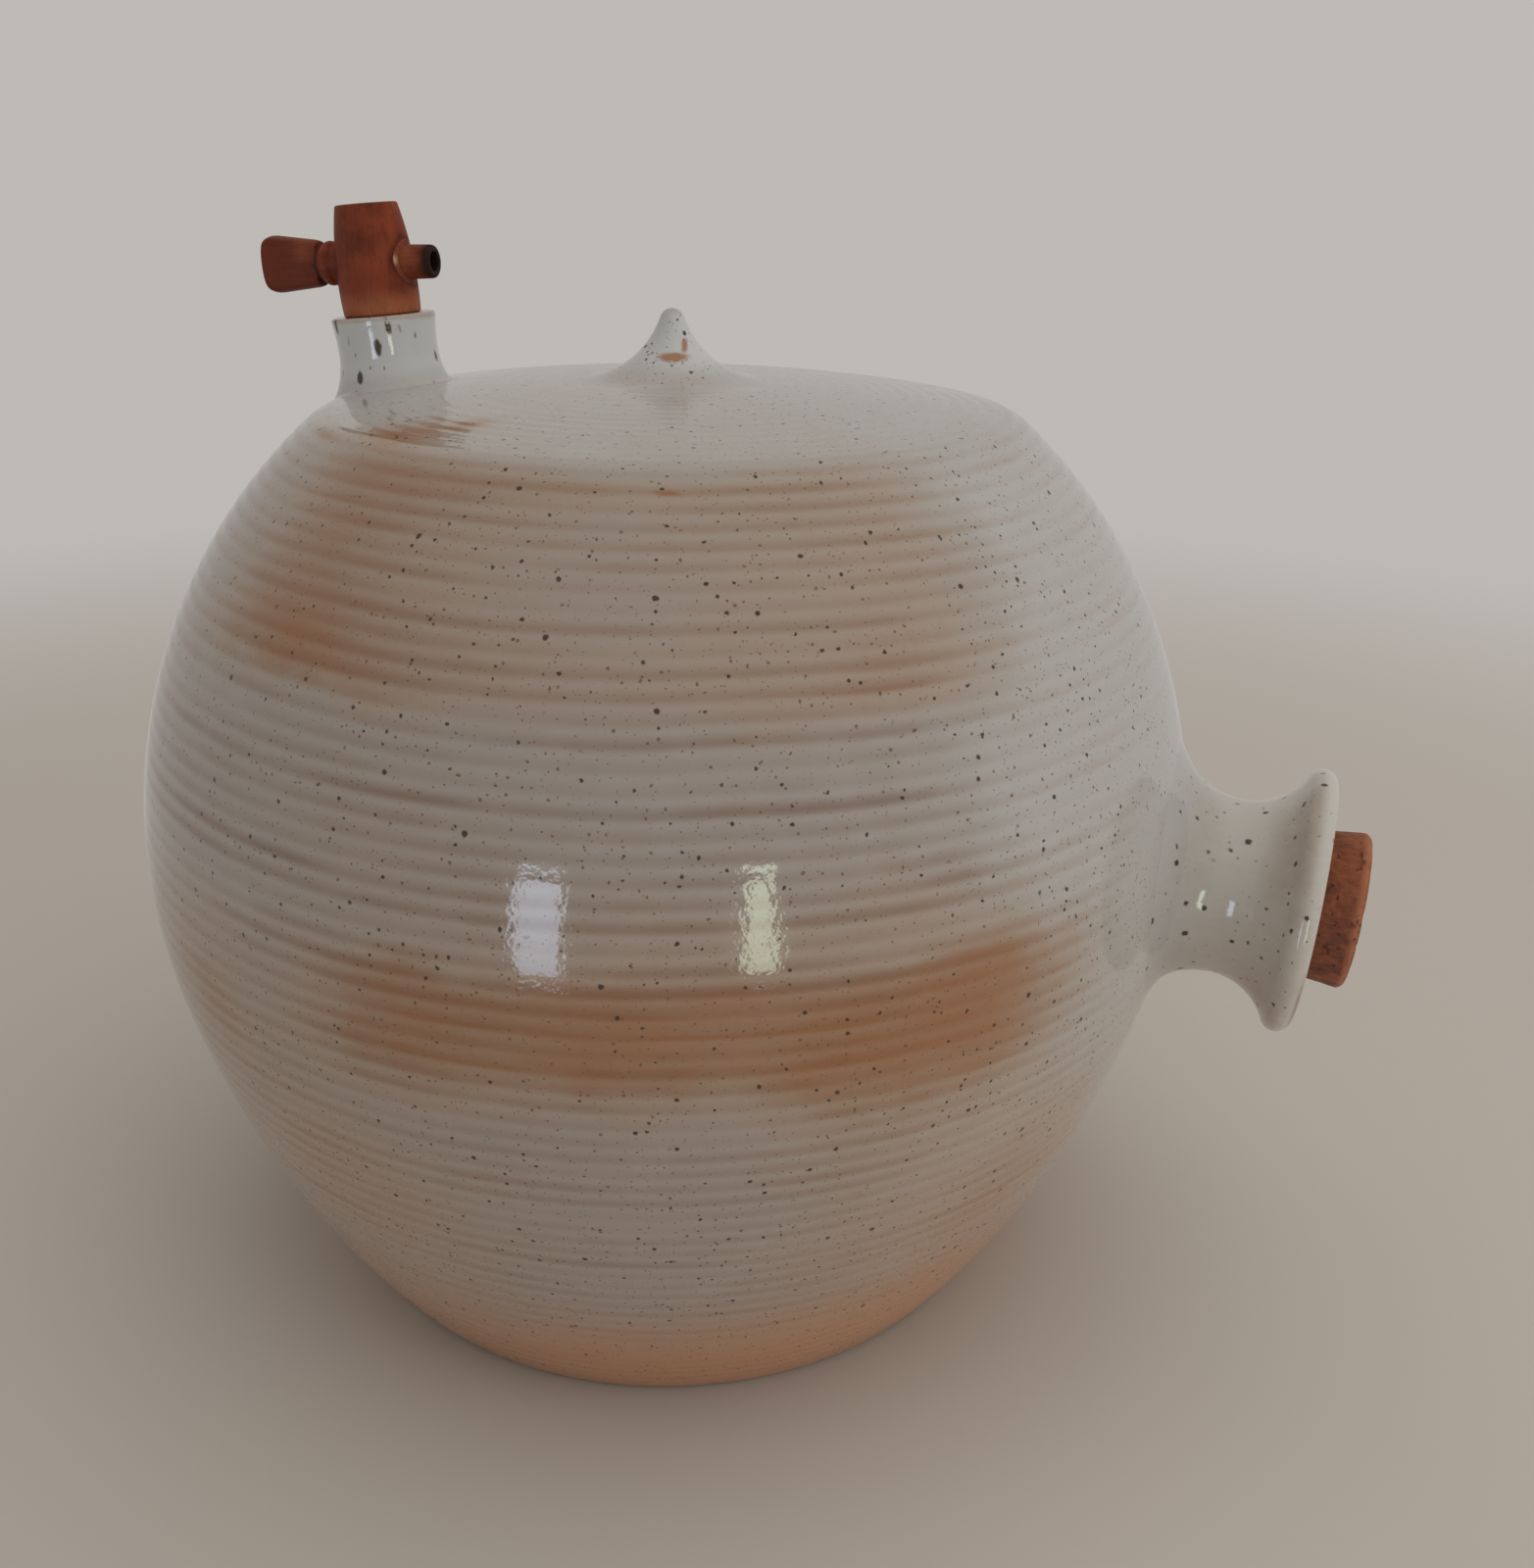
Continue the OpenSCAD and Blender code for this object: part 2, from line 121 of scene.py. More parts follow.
class TapSizes(bpy.types.PropertyGroup):
    """Sizes of the collar, the tap, its sleeve and its key."""
    collar_h: length("Collar", "Height of the rim above the crown", 18.2)
    collar_waist_d: length("Collar waist", "Outside diameter at the waist", 25.8)
    collar_waist_at: length("Waist height", "Height of the waist above the crown", 9.5)
    collar_rim_curve: length("Rim curve", "Radius of the hollow side above the waist", 45)
    collar_foot_curve: length("Foot curve", "Radius of the hollow side below the waist", 24)
    collar_rim_r: length("Rim rounding", "Rounding of the rim", 1.3)
    collar_bore_d: length("Collar bore", "Diameter of the bore", 19)
    collar_edge: length("Collar edge", "Radius out to which the foot is smoothed", 25)
    collar_blend: length("Collar blend", "How softly the foot runs into the crown", 3.0)
    tap_h: length("Tap", "Height of the tap above the rim", 27.5)
    tap_d: length("Tap width", "Widest diameter of the tap", 20.4)
    tap_belly_at: length("Tap belly", "Height of the widest place above the rim", 7)
    tap_top_d: length("Tap top", "Diameter of the flat top", 15.8)
    tail_d: length("Tail", "Diameter of the tail", 12.8)
    tail_tip_d: length("Tail tip", "Diameter of the tail's inner end", 10.6)
    tail_end: length("Tail end", "Depth of the tail's inner end under the crown", 15)
    flow_d: length("Flow bore", "Diameter of the bore for the vinegar", 5)
    sleeve_len: length("Sleeve", "Length of the cork sleeve", 21)
    sleeve_sunk: length("Sleeve sunk", "How far the sleeve lies below the rim", 0.4)
    fit_gap: length("Fit gap", "Gap between pieces that turn in each other", 0.05)
    key_at: length("Key height", "Height of the key's axis above the rim", 13)
    plug_d: length("Plug", "Diameter of the plug where it enters the tap", 9.6)
    spout_d: length("Spout", "Diameter of the spout at its open end", 8.3)
    spout_reach: length("Spout reach", "Distance from the tap's axis to the spout's end", 17)
    liner_t: length("Liner", "Thickness of the cork lining", 0.9)
    bead_d: length("Bead", "Diameter of the bead behind the handle", 11.2)
    bead_len: length("Bead length", "Length of the bead", 4)
    groove_d: length("Groove", "Diameter of the groove", 9.2)
    groove_len: length("Groove width", "Width of the groove", 0.8)
    handle_len: length("Handle", "Length of the handle", 16)
    handle_root_w: length("Handle root", "Width of the handle at the groove", 11.6)
    handle_end_w: length("Handle end", "Width of the handle at its end", 14.6)
    handle_t: length("Handle thickness", "Thickness of the handle", 7)
    handle_corner_r: length("Handle corners", "Rounding of the handle's corners", 2.75)


class CrockColours(bpy.types.PropertyGroup):
    """Colours of the glaze, the cork and the wood."""
    pale_cool: tint("Cool glaze", "Pale glaze", 0.42, 0.405, 0.376)
    # Pale glaze of the neck, warmer than the pot's and painted brighter as painted light
    pale_neck_lit: tint("Thick glaze", "Thick pale glaze on the neck", 0.498, 0.46, 0.411)
    pale_blue: tint("Blue glaze", "Thick bluish glaze on the collar", 0.545, 0.545, 0.525)
    lilac: tint("Lilac glaze", "Thinner pale glaze", 0.348, 0.3, 0.26)
    beige: tint("Beige", "Glaze with a little iron", 0.357, 0.273, 0.206)
    tan: tint("Tan", "Glaze with more iron", 0.322, 0.203, 0.130)
    iron: tint("Iron", "Iron-brown glaze", 0.305, 0.137, 0.058)
    peach: tint("Peach", "Thin glaze above the foot", 0.47, 0.24, 0.125)
    brown: tint("Brown", "Thin dark lines and rims", 0.15, 0.07, 0.035)
    speck: tint("Specks", "Iron specks", 0.042, 0.02, 0.012)
    clay: tint("Clay", "Bare fired clay under the foot", 0.36, 0.25, 0.16)
    wood_light: tint("Light wood", "Red wood", 0.222, 0.043, 0.017)
    wood_dark: tint("Dark wood", "Oiled wood", 0.11, 0.021, 0.008)
    wood_worn: tint("Worn wood", "Wood worn pale", 0.39, 0.13, 0.055)
    wood_stain: tint("Stained wood", "Wood blackened by vinegar", 0.014, 0.007, 0.004)
    cork_light: tint("Light cork", "Worn edge of the cork", 0.36, 0.13, 0.055)
    cork_mid: tint("Cork", "Aged cork", 0.225, 0.061, 0.022)
    cork_dark: tint("Dark cork", "Pores of the cork", 0.09, 0.024, 0.010)
    seal_light: tint("Seal cork", "Pale cork of the sleeve", 0.45, 0.27, 0.13)
    floor: tint("Floor", "Pale floor", 0.555, 0.50, 0.44)
    bounce: tint("Bounce", "Floor as it lights the pieces above it", 0.87, 0.79, 0.71)
    backdrop: tint("Backdrop", "Pale surroundings", 0.515, 0.49, 0.465)


def sizes(kind):
    """The property group of a kind on the scene."""
    return getattr(bpy.context.scene, kind)


# Sections, drawn as radius and height

def point(across, up):
    """A point of a section."""
    return np.array([across, up], dtype=float)


def meeting(upper, upper_far, lower, lower_far):
    """Point at two given distances from an upper and a lower point, on their outer side."""
    step = lower - upper
    far = np.linalg.norm(step)
    way = step / far
    along = (upper_far ** 2 - lower_far ** 2 + far ** 2) / (2 * far)
    aside = math.sqrt(upper_far ** 2 - along ** 2)
    return upper + along * way + aside * point(-way[1], way[0])


def heading(start, end):
    """Angle of the way from one point to another."""
    return math.atan2(end[1] - start[1], end[0] - start[0])


def arc(mid, radius, start, end, gap):
    """Points along an arc, at most a gap apart."""
    count = max(2, math.ceil(abs(end - start) * radius / gap)) + 1
    turn = np.linspace(start, end, count)
    return np.column_stack([mid[0] + radius * np.cos(turn), mid[1] + radius * np.sin(turn)])


def run(*lines):
    """Lines joined end to end, without doubled points."""
    whole = np.vstack(lines)
    step = np.linalg.norm(np.diff(whole, axis=0), axis=1)
    return whole[np.concatenate([[True], step > 1e-6])]


def softened(corners, gap):
    """Line through corners, each a radius, a height and a rounding, in steps of at most a gap."""
    spots = [point(across, up) for across, up, _ in corners]
    line = [spots[0]]
    for before, spot, after, corner in zip(spots, spots[1:], spots[2:], corners[1:]):
        back, ahead = before - spot, after - spot
        cut_back = min(corner[2], 0.45 * np.linalg.norm(back))
        cut_ahead = min(corner[2], 0.45 * np.linalg.norm(ahead))
        first = spot + back / np.linalg.norm(back) * cut_back
        last = spot + ahead / np.linalg.norm(ahead) * cut_ahead
        for share in np.linspace(0, 1, 6) if corner[2] else [0.5]:
            line.append((1 - share) ** 2 * first + 2 * share * (1 - share) * spot
                        + share ** 2 * last)
    line.append(spots[-1])
    dense = [line[0]]
    for start, end in zip(line, line[1:]):
        count = max(1, math.ceil(np.linalg.norm(end - start) / gap))
        dense += [start + (end - start) * step / count for step in range(1, count + 1)]
    return run(np.array(dense))


class CrockShape:
    """The arcs of the crock's outline, worked out from its sizes."""

    def __init__(self, s):
        self.s = s
        belly_r, edge_r = s.belly_d / 2, s.crown_d / 2
        self.crown_mid = point(0, s.crown_z - s.crown_r)
        edge_z = self.crown_mid[1] + math.sqrt(s.crown_r ** 2 - edge_r ** 2)
        run_in, run_up = belly_r - edge_r, edge_z - s.belly_z
        self.round_r = (run_in ** 2 + run_up ** 2) / (2 * run_in)
        self.round_mid = point(belly_r - self.round_r, s.belly_z)
        self.bulge = -math.asin(s.bulge_drop / self.round_r)
        bulge_way = point(math.cos(self.bulge), math.sin(self.bulge))
        foot_way = point(s.base_d / 2, 0) - self.round_mid
        longer = (foot_way @ foot_way - self.round_r ** 2) / (
            2 * (self.round_r - foot_way @ bulge_way))
        self.flank_r = self.round_r + longer
        self.flank_mid = self.round_mid - longer * bulge_way
        self.shoulder = meeting(self.round_mid, self.round_r - s.shoulder_r,
                                self.crown_mid, s.crown_r - s.shoulder_r)
        self.peak_tip = point(0, s.crown_z + s.peak_h - s.peak_tip_r)
        self.peak_flare = meeting(self.peak_tip, s.peak_tip_r + s.peak_flare_r,
                                  self.crown_mid, s.crown_r + s.peak_flare_r)

    def flank(self, inset, from_z, gap):
        """Section from a height up to the edge of the crown, drawn in from the outside."""
        start = math.asin((from_z - self.flank_mid[1]) / (self.flank_r - inset))
        to_shoulder = heading(self.round_mid, self.shoulder)
        to_crown = heading(self.crown_mid, self.shoulder)
        return run(
            arc(self.flank_mid, self.flank_r - inset, start, self.bulge, gap),
            arc(self.round_mid, self.round_r - inset, self.bulge, to_shoulder, gap),
            arc(self.shoulder, self.s.shoulder_r - inset, to_shoulder, to_crown, gap))

    def outside(self, gap):
        """Section of the outside, from the foot's centre up to the tip of the peak."""
        s = self.s
        rim = self.flank(0, s.foot_bevel, gap)
        foot_r = s.base_d / 2
        foot = softened([(0, 0, 0), (foot_r, 0, s.foot_bevel), (*rim[0], 0)], foot_r / 6)
        flare_end = heading(self.peak_flare, self.peak_tip)
        return run(
            foot[:-1], rim,
            arc(self.crown_mid, s.crown_r, heading(self.crown_mid, self.shoulder),
                heading(self.crown_mid, self.peak_flare), gap),
            arc(self.peak_flare, s.peak_flare_r, heading(self.peak_flare, self.crown_mid),
                flare_end - (2 * math.pi if flare_end > 0 else 0), gap),
            arc(self.peak_tip, s.peak_tip_r, heading(self.peak_tip, self.peak_flare),
                math.pi / 2, gap / 2))

    def inside(self, gap):
        """Section of the chamber, from the middle of the floor up to the crown."""
        s = self.s
        side = self.flank(s.wall, s.floor_t, gap)
        floor = softened([(0, s.floor_t, 0), (*side[0], 0), (*side[1], 0)], 4 * gap)
        return run(floor[:-1], side,
                   arc(self.crown_mid, s.crown_r - s.wall,
                       heading(self.crown_mid, self.shoulder), math.pi / 2, gap))


# Meshes

def rings(section, columns):
    """Rows of points, one row round the axis for each point of a section."""
    turn = np.linspace(0, 2 * math.pi, columns, endpoint=False)
    across, up = section[:, :1], section[:, 1:]
    return np.stack([across * np.cos(turn), across * np.sin(turn),
                     np.broadcast_to(up, (len(section), columns))], axis=2)


def skin(rows, looped):
    """Vertices and faces over rows of points: a loop of rows, or rows closed by two poles."""
    count, columns = rows.shape[:2]
    at = np.arange(columns)
    following = (at + 1) % columns
    if looped:
        pairs = [(row, (row + 1) % count) for row in range(count)]
        spots = rows.reshape(-1, 3)
    else:
        pairs = [(row, row + 1) for row in range(count - 1)]
        spots = np.vstack([rows.reshape(-1, 3), rows[0].mean(axis=0), rows[-1].mean(axis=0)])
    faces = [np.column_stack([low * columns + at, low * columns + following,
                              high * columns + following, high * columns + at])
             for low, high in pairs]
    faces = np.vstack(faces).tolist()
    if not looped:
        bottom, top, last = count * columns, count * columns + 1, (count - 1) * columns
        faces += [(bottom, int(b), int(a)) for a, b in zip(at, following)]
        faces += [(top, int(last + a), int(last + b)) for a, b in zip(at, following)]
    return spots, faces


def revolved(section, columns):
    """Closed skin turned round the axis from a section that starts and ends on it."""
    return skin(rings(section[1:-1], columns), False)


def placed(spots, place):
    """Points carried from a local frame to the crock's frame."""
    turn = np.array(place.to_3x3())
    return spots @ turn.T + np.array(place.translation)


def piece_from(name, spots, faces):
    """New smooth object from vertices and faces."""
    mesh = bpy.data.meshes.new(name)
    mesh.from_pydata(spots.tolist(), [], faces)
    mesh.validate()
    mesh.shade_smooth()
    piece = bpy.data.objects.new(name, mesh)
    bpy.context.scene.collection.objects.link(piece)
    return piece


def settle(piece):
    """Turns a piece with live modifiers into a plain mesh."""
    graph = bpy.context.evaluated_depsgraph_get()
    mesh = bpy.data.meshes.new_from_object(piece.evaluated_get(graph),
                                           preserve_all_data_layers=True, depsgraph=graph)
    piece.modifiers.clear()
    old, piece.data = piece.data, mesh
    mesh.name = piece.name
    bpy.data.meshes.remove(old)


def drill(name, place, radius, start, end):
    """Closed cylinder along a local axis, for cutting a bore."""
    section = softened([(0, start, 0), (radius, start, 0), (radius, end, 0), (0, end, 0)], 1.0)
    spots, faces = revolved(section, COLUMNS["bore"])
    return piece_from(name, placed(spots, place), faces)


def cut(piece, *tools):
    """Cuts closed tools out of a closed piece."""
    for tool in tools:
        modifier = piece.modifiers.new("Cut", "BOOLEAN")
        modifier.operation, modifier.solver, modifier.object = "DIFFERENCE", "EXACT", tool
    settle(piece)
    for tool in tools:
        bpy.data.objects.remove(tool)


def vertices_of(piece):
    """Vertex positions of a piece as an array."""
    spots = np.empty(len(piece.data.vertices) * 3)
    piece.data.vertices.foreach_get("co", spots)
    return spots.reshape(-1, 3)


def note(piece, name, values):
    """Keeps one number for each vertex of a piece."""
    piece.data.attributes.new(name, "FLOAT", "POINT").data.foreach_set("value", values)


def dress(piece, material, body, slot, *nodes):
    """Gives a piece its material and its body, and hides the nodes that it stands for. The slot is not used."""
    piece.data.materials.clear()
    piece.data.materials.append(material)
    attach(piece, body)
    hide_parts(*nodes)


def ease(value, low, high):
    """Smooth step from 0 at a low value to 1 at a high one."""
    share = np.clip((value - low) / (high - low), 0, 1)
    return share * share * (3 - 2 * share)


def local_frame(origin, axis, side):
    """Frame with +Z along an axis and +X towards a side."""
    up = Vector(axis).normalized()
    across = up.cross(Vector(side)).normalized()
    place = Matrix((across.cross(up), across, up)).transposed().to_4x4()
    place.translation = Vector(origin)
    return place


def neck_frame():
    """The neck's own frame: on the belly, along the cork's pull."""
    s = sizes("crock_sizes")
    origin = (s.belly_d / 2, 0, sizes("neck_sizes").neck_z)
    return local_frame(origin, JOINTS["cork_pull"]["axis"], (0, 0, -1))


def collar_frame():
    """The collar's own frame: on the crown, along the tap, with +X towards the key's handle."""
    return local_frame(JOINTS["tap_turn"]["pos_m"], JOINTS["tap_turn"]["axis"],
                       JOINTS["key_turn"]["axis"])


def key_frame():
    """The key's own frame: on the tap's axis, from the spout towards the handle."""
    return local_frame(JOINTS["key_turn"]["pos_m"], JOINTS["key_turn"]["axis"],
                       JOINTS["tap_turn"]["axis"])


def distance_from_axis(spots, place):
    """Distance of points from the axis of a local frame, and their height along it."""
    local = (spots - np.array(place.translation)) @ np.array(place.to_3x3())
    return np.hypot(local[:, 0], local[:, 1]), local[:, 2]


# Node trees

def operator_pair(operation):
    """An operator that adds a Math node, and its reflected form."""
    def forward(self, other):
        return self.tree.sole(operation, self, other)

    def reflected(self, other):
        return self.tree.sole(operation, other, self)

    return forward, reflected


class Term:
    """One output socket; arithmetic on it adds Math nodes."""

    def __init__(self, tree, socket):
        self.tree, self.socket = tree, socket

    def out(self, name):
        """Another output of the same node."""
        return Term(self.tree, self.socket.node.outputs[name])

    __add__, __radd__ = operator_pair("ADD")
    __sub__, __rsub__ = operator_pair("SUBTRACT")
    __mul__, __rmul__ = operator_pair("MULTIPLY")
    __truediv__, __rtruediv__ = operator_pair("DIVIDE")

    def __neg__(self):
        return self.tree.sole("MULTIPLY", self, -1.0)

    def __abs__(self):
        return self.tree.sole("ABSOLUTE", self)


class Tree:
    """A node tree under construction."""

    def __init__(self, tree):
        self.tree = tree

    def add(self, kind, settings=None, sockets=None, out=0):
        """Adds a node, sets it, fills its sockets and gives one of its outputs."""
        node = self.tree.nodes.new(kind)
        for name, value in (settings or {}).items():
            setattr(node, name, value)
        for key, value in (sockets or {}).items():
            socket = node.inputs[key]
            if isinstance(value, Term):
                self.tree.links.new(value.socket, socket)
            elif socket.type == "RGBA":
                socket.default_value = (*value, 1.0)[:4]
            else:
                socket.default_value = value
        return Term(self, node.outputs[out]) if node.outputs else None

    def sole(self, operation, value, other=0.0):
        """A Math node on one or two values."""
        return self.add("ShaderNodeMath", {"operation": operation}, {0: value, 1: other})

    def radius(self, x, y):
        """Distance from an axis, out of the two numbers across it."""
        return self.sole("SQRT", x * x + y * y)

    def ease(self, value, low, high):
        """Smooth step from 0 at a low value to 1 at a high one."""
        return self.add("ShaderNodeMapRange", {"interpolation_type": "SMOOTHSTEP"},
                        {"Value": value, "From Min": low, "From Max": high})

    def slide(self, value, low, high):
        """Straight step from 0 at a low value to 1 at a high one."""
        return self.add("ShaderNodeMapRange", None,
                        {"Value": value, "From Min": low, "From Max": high})

    def noise(self, place, scale, detail=2.0, roughness=0.5):
        """Soft noise between 0 and 1."""
        return self.add("ShaderNodeTexNoise", {"noise_dimensions": "3D"},
                        {"Vector": place, "Scale": scale, "Detail": detail,
                         "Roughness": roughness}, "Fac")

    def chance(self, value):
        """A random number for each whole number."""
        return self.add("ShaderNodeTexWhiteNoise", {"noise_dimensions": "1D"}, {"W": value})

    def scaled(self, vector, scale):
        """A vector times a number."""
        return self.add("ShaderNodeVectorMath", {"operation": "SCALE"},
                        {0: vector, "Scale": scale})

    def joined(self, across, along, up):
        """A vector from three numbers."""
        return self.add("ShaderNodeCombineXYZ", None, {0: across, 1: along, 2: up})

    def split(self, vector):
        """The three numbers of a vector."""
        whole = self.add("ShaderNodeSeparateXYZ", None, {0: vector})
        return whole, whole.out("Y"), whole.out("Z")


class Finish(Tree):
    """A material under construction, measured in millimetres."""

    def __init__(self, name, colours):
        self.material = bpy.data.materials.new(name)
        self.material.use_nodes = True
        super().__init__(self.material.node_tree)
        self.tree.nodes.clear()
        self.c = colours
        self.metres = self.add("ShaderNodeTexCoord", out="Object")
        self.mm = self.scaled(self.metres, 1 / MM)

    def kept(self, name):
        """A number that was kept for each vertex."""
        return self.add("ShaderNodeAttribute", {"attribute_name": name}, None, "Fac")

    def local(self, place):
        """Place in a local frame, in millimetres."""
        inside = self.add("ShaderNodeMapping", {"vector_type": "TEXTURE"},
                          {"Vector": self.metres, "Location": place.translation,
                           "Rotation": place.to_euler()})
        return self.scaled(inside, 1 / MM)

    def mix(self, share, first, second):
        """A colour between two colours, each an output or the name of one of the scene's."""
        first, second = (tuple(getattr(self.c, shade)) if isinstance(shade, str) else shade
                         for shade in (first, second))
        return self.add("ShaderNodeMix", {"data_type": "RGBA"}, {0: share, 6: first, 7: second}, 2)

    def specked(self, ground, sorts, spot):
        """Brown specks of several sorts: spacing, largest radius, strength and colour of each."""
        stray = self.add("ShaderNodeTexNoise", None, {"Vector": spot, "Scale": 0.9}, "Color")
        stray = self.add("ShaderNodeVectorMath", {"operation": "MULTIPLY_ADD"},
                         {0: stray, 1: (0.8, 0.8, 0.8), 2: spot})
        for spacing, largest, strength, colour in sorts:
            cell = self.add("ShaderNodeTexVoronoi", None,
                            {"Vector": stray, "Scale": 1 / spacing}, "Distance")
            luck = self.split(cell.out("Color"))[0]
            far = cell * spacing - largest * (0.2 + 0.8 * luck * luck)
            dot = 1 - self.ease(far, -0.3 * largest, 0.2 * largest)
            ground = self.mix(dot * strength, ground, colour)
        return ground

    def surface(self, colour, roughness, height, depth, gloss=0.5):
        """The shader: colour, roughness and a bump of a given depth in metres."""
        bump = self.add("ShaderNodeBump", None, {"Strength": 1.0, "Distance": depth,
                                                 "Height": height}, "Normal")
        shader = self.add("ShaderNodeBsdfPrincipled", None,
                          {"Base Color": colour, "Roughness": roughness, "Normal": bump,
                           "Specular IOR Level": gloss})
        self.add("ShaderNodeOutputMaterial", None, {"Surface": shader})
        return self.material


# Glaze

# Directions across the crock: to the neck's lit side, to the front and to the back
NECK_SIDE = (0.966, 0.259)
FRONT = (0.319, -0.948)
BACK = (-0.375, 0.927)
# Directions across the neck's own frame: to the upper and the lower half that the front shows
UPPER_FRONT, LOWER_FRONT = (-0.8, -0.6), (0.8, -0.6)
# Heights in millimetres between which one part of the glaze fades into the next
BARE_FOOT = (0.5, 1.4)
PEACH_FOOT = (6.0, 56.0)
PEACH_FLANK = (30.0, 105.0)
BELT_START, BELT_END = (103.0, 127.0), (135.0, 151.0)
SHOULDER_START = (186.0, 197.0)
STEADY_HEIGHT = (222.0, 234.0)
COOL_CROWN = (226.0, 238.0)
CROWN_START = (231.0, 238.5)
QUIET_RINGS = (232.0, 240.0)
DULL_CROWN = (236.0, 242.0)
PEAK_START = (243.5, 249.0)
PEAK_TIP = (257.5, 260.0)
# The same along the axes of the neck and the collar
NECK_START = (-3.0, 11.0)
FLARE_START, FLARE_END = (15.0, 25.0), (28.0, 31.0)
LIP_START = (31.4, 32.5)
COLLAR_START = (-2.0, 6.0)
# Roughness of the glaze where it is thick, and depth of its ripple in metres
GLAZE_ROUGHNESS = 0.075
GLAZE_RIPPLE = 0.04 * MM
# Iron wash on the front of the shoulder and the belly: azimuth and half width in degrees, strength
SHOULDER_WASH = ((-112, 15, 0.66), (-90, 16, 0.31), (-62, 14, 0.27), (-44, 11, 0.34))
BELLY_BELT = ((-118, 8, 0.2), (-93, 10, 0.68), (-75, 12, 0.68), (-53, 15, 0.76), (-39, 8, 0.48))
# Soft iron patches and painted light: azimuth and height of the middle in degrees and millimetres,
# half width, half height and strength. The first is partly painted shade low on the left. Of the last
# four, three are a painted reflection of the wooden tap in the glossy crown by the collar and one is
# a dent in the shoulder.
IRON_PATCHES_AND_PAINTED_LIGHT = (
    # The first patch is partly a tint and partly painted shade: darker tan standing in for less light low on the
    # left
    (-106, 78, 20, 34, 0.45), (-33, 66, 22, 40, 0.48), (-118, 112, 9, 16, 0.35),
    (-48, 108, 12, 12, 0.35), (-95, 168, 16, 14, 0.18), (-70, 151, 26, 9, 0.3),
    (-46, 152, 12, 10, 0.25),
    # These three are a painted reflection of the wooden tap in the glossy crown by the collar
    (-115, 236.8, 8, 1.5, 0.6), (-130, 234.6, 5, 0.8, 0.6), (-108.5, 238.5, 4, 0.6, 0.8),
    (-68.5, 231.5, 2.0, 0.45, 0.6),
)
# Sorts of specks: spacing and largest radius in millimetres, strength and colour
POT_SPECKS = ((4.8, 0.72, 0.95, "speck"), (2.6, 0.52, 0.95, "speck"), (1.7, 0.4, 0.8, "brown"),
              (1.05, 0.27, 0.6, "brown"))
SPOUT_SPECKS = ((3.9, 0.98, 0.97, "speck"), (2.2, 0.4, 0.7, "brown"))
DRIP_SPECKS = ((3.0, 1.05, 0.95, "speck"), (1.9, 0.42, 0.7, "brown"))


def hill(f, *shares):
    """Soft hill that is 1 where all shares are 0 and fades as any share passes 1."""
    return f.sole("EXPONENT", -sum(share * share for share in shares))


def around(f, azimuth, parts):
    """Strength of a wash round the pot."""
    return sum(strength * hill(f, (azimuth - at) / half_width)
               for at, half_width, strength in parts)


def patches(f, azimuth, height, spots):
    """Strength of soft patches on the pot."""
    return sum(strength * hill(f, (azimuth - at) / half_width, (height - up) / half_height)
               for at, up, half_width, half_height, strength in spots)


def towards(way, x, y):
    """How far a place lies in a direction across an axis."""
    return way[0] * x + way[1] * y


def neck_side(f, x, y):
    """1 straight under the neck's lit side, -1 straight opposite."""
    return towards(NECK_SIDE, x, y) / f.radius(x, y)


def glaze_ground(f):
    """Pale glaze, cool by the neck and on the crown and lilac elsewhere, and its thinness."""
    x, y, z = f.split(f.mm)
    drift = f.noise(f.mm, 1 / 55, 3.0)
    cloud = f.noise(f.mm, 1 / 9, 2.0)
    thin = 1 - f.ease(neck_side(f, x, y) + 0.6 * (drift - 0.5), 0.38, 0.76)
    thin = f.sole("MINIMUM", thin * (0.7 + 0.6 * cloud), 1.0)
    crown = f.ease(z, *COOL_CROWN)
    thin = thin * (1 - crown) + crown * (0.08 + 0.4 * cloud)
    return f.mix(thin, "pale_cool", "lilac"), thin


def stained_glaze(f, ground, tone):
    """Pale glaze that goes through beige and tan to iron brown as its tone rises."""
    ground = f.mix(f.slide(tone, 0.0, 0.42), ground, "beige")
    ground = f.mix(f.slide(tone, 0.40, 0.66), ground, "tan")
    return f.mix(f.slide(tone, 0.64, 1.0), ground, "iron")


def orange_peel(f):
    """Height of the fine ripple in the glaze."""
    return 0.75 * f.noise(f.mm, 1 / 1.3, 1.0) + 2.0 * f.noise(f.mm, 1 / 8, 0.0)


def rust_on_peak(f, x, y, z):
    """Rusty smear on the front of the peak."""
    front = f.ease(towards(FRONT, x, y), 0.0, 1.0)
    across = towards((-FRONT[1], FRONT[0]), x, y)
    ragged = f.noise(f.mm, 1 / 1.3, 3.0) - 0.5
    smear = hill(f, (across - 0.8) / 4.2, (z - 248.9 + 1.2 * ragged) / 1.1)
    smear = f.sole("MAXIMUM", smear, 0.8 * hill(f, (across - 3.4 + ragged) / 1.0,
                                                (z - 251.4) / 2.2))
    return front * f.ease(smear + 0.3 * ragged, 0.2, 0.75) * 0.9


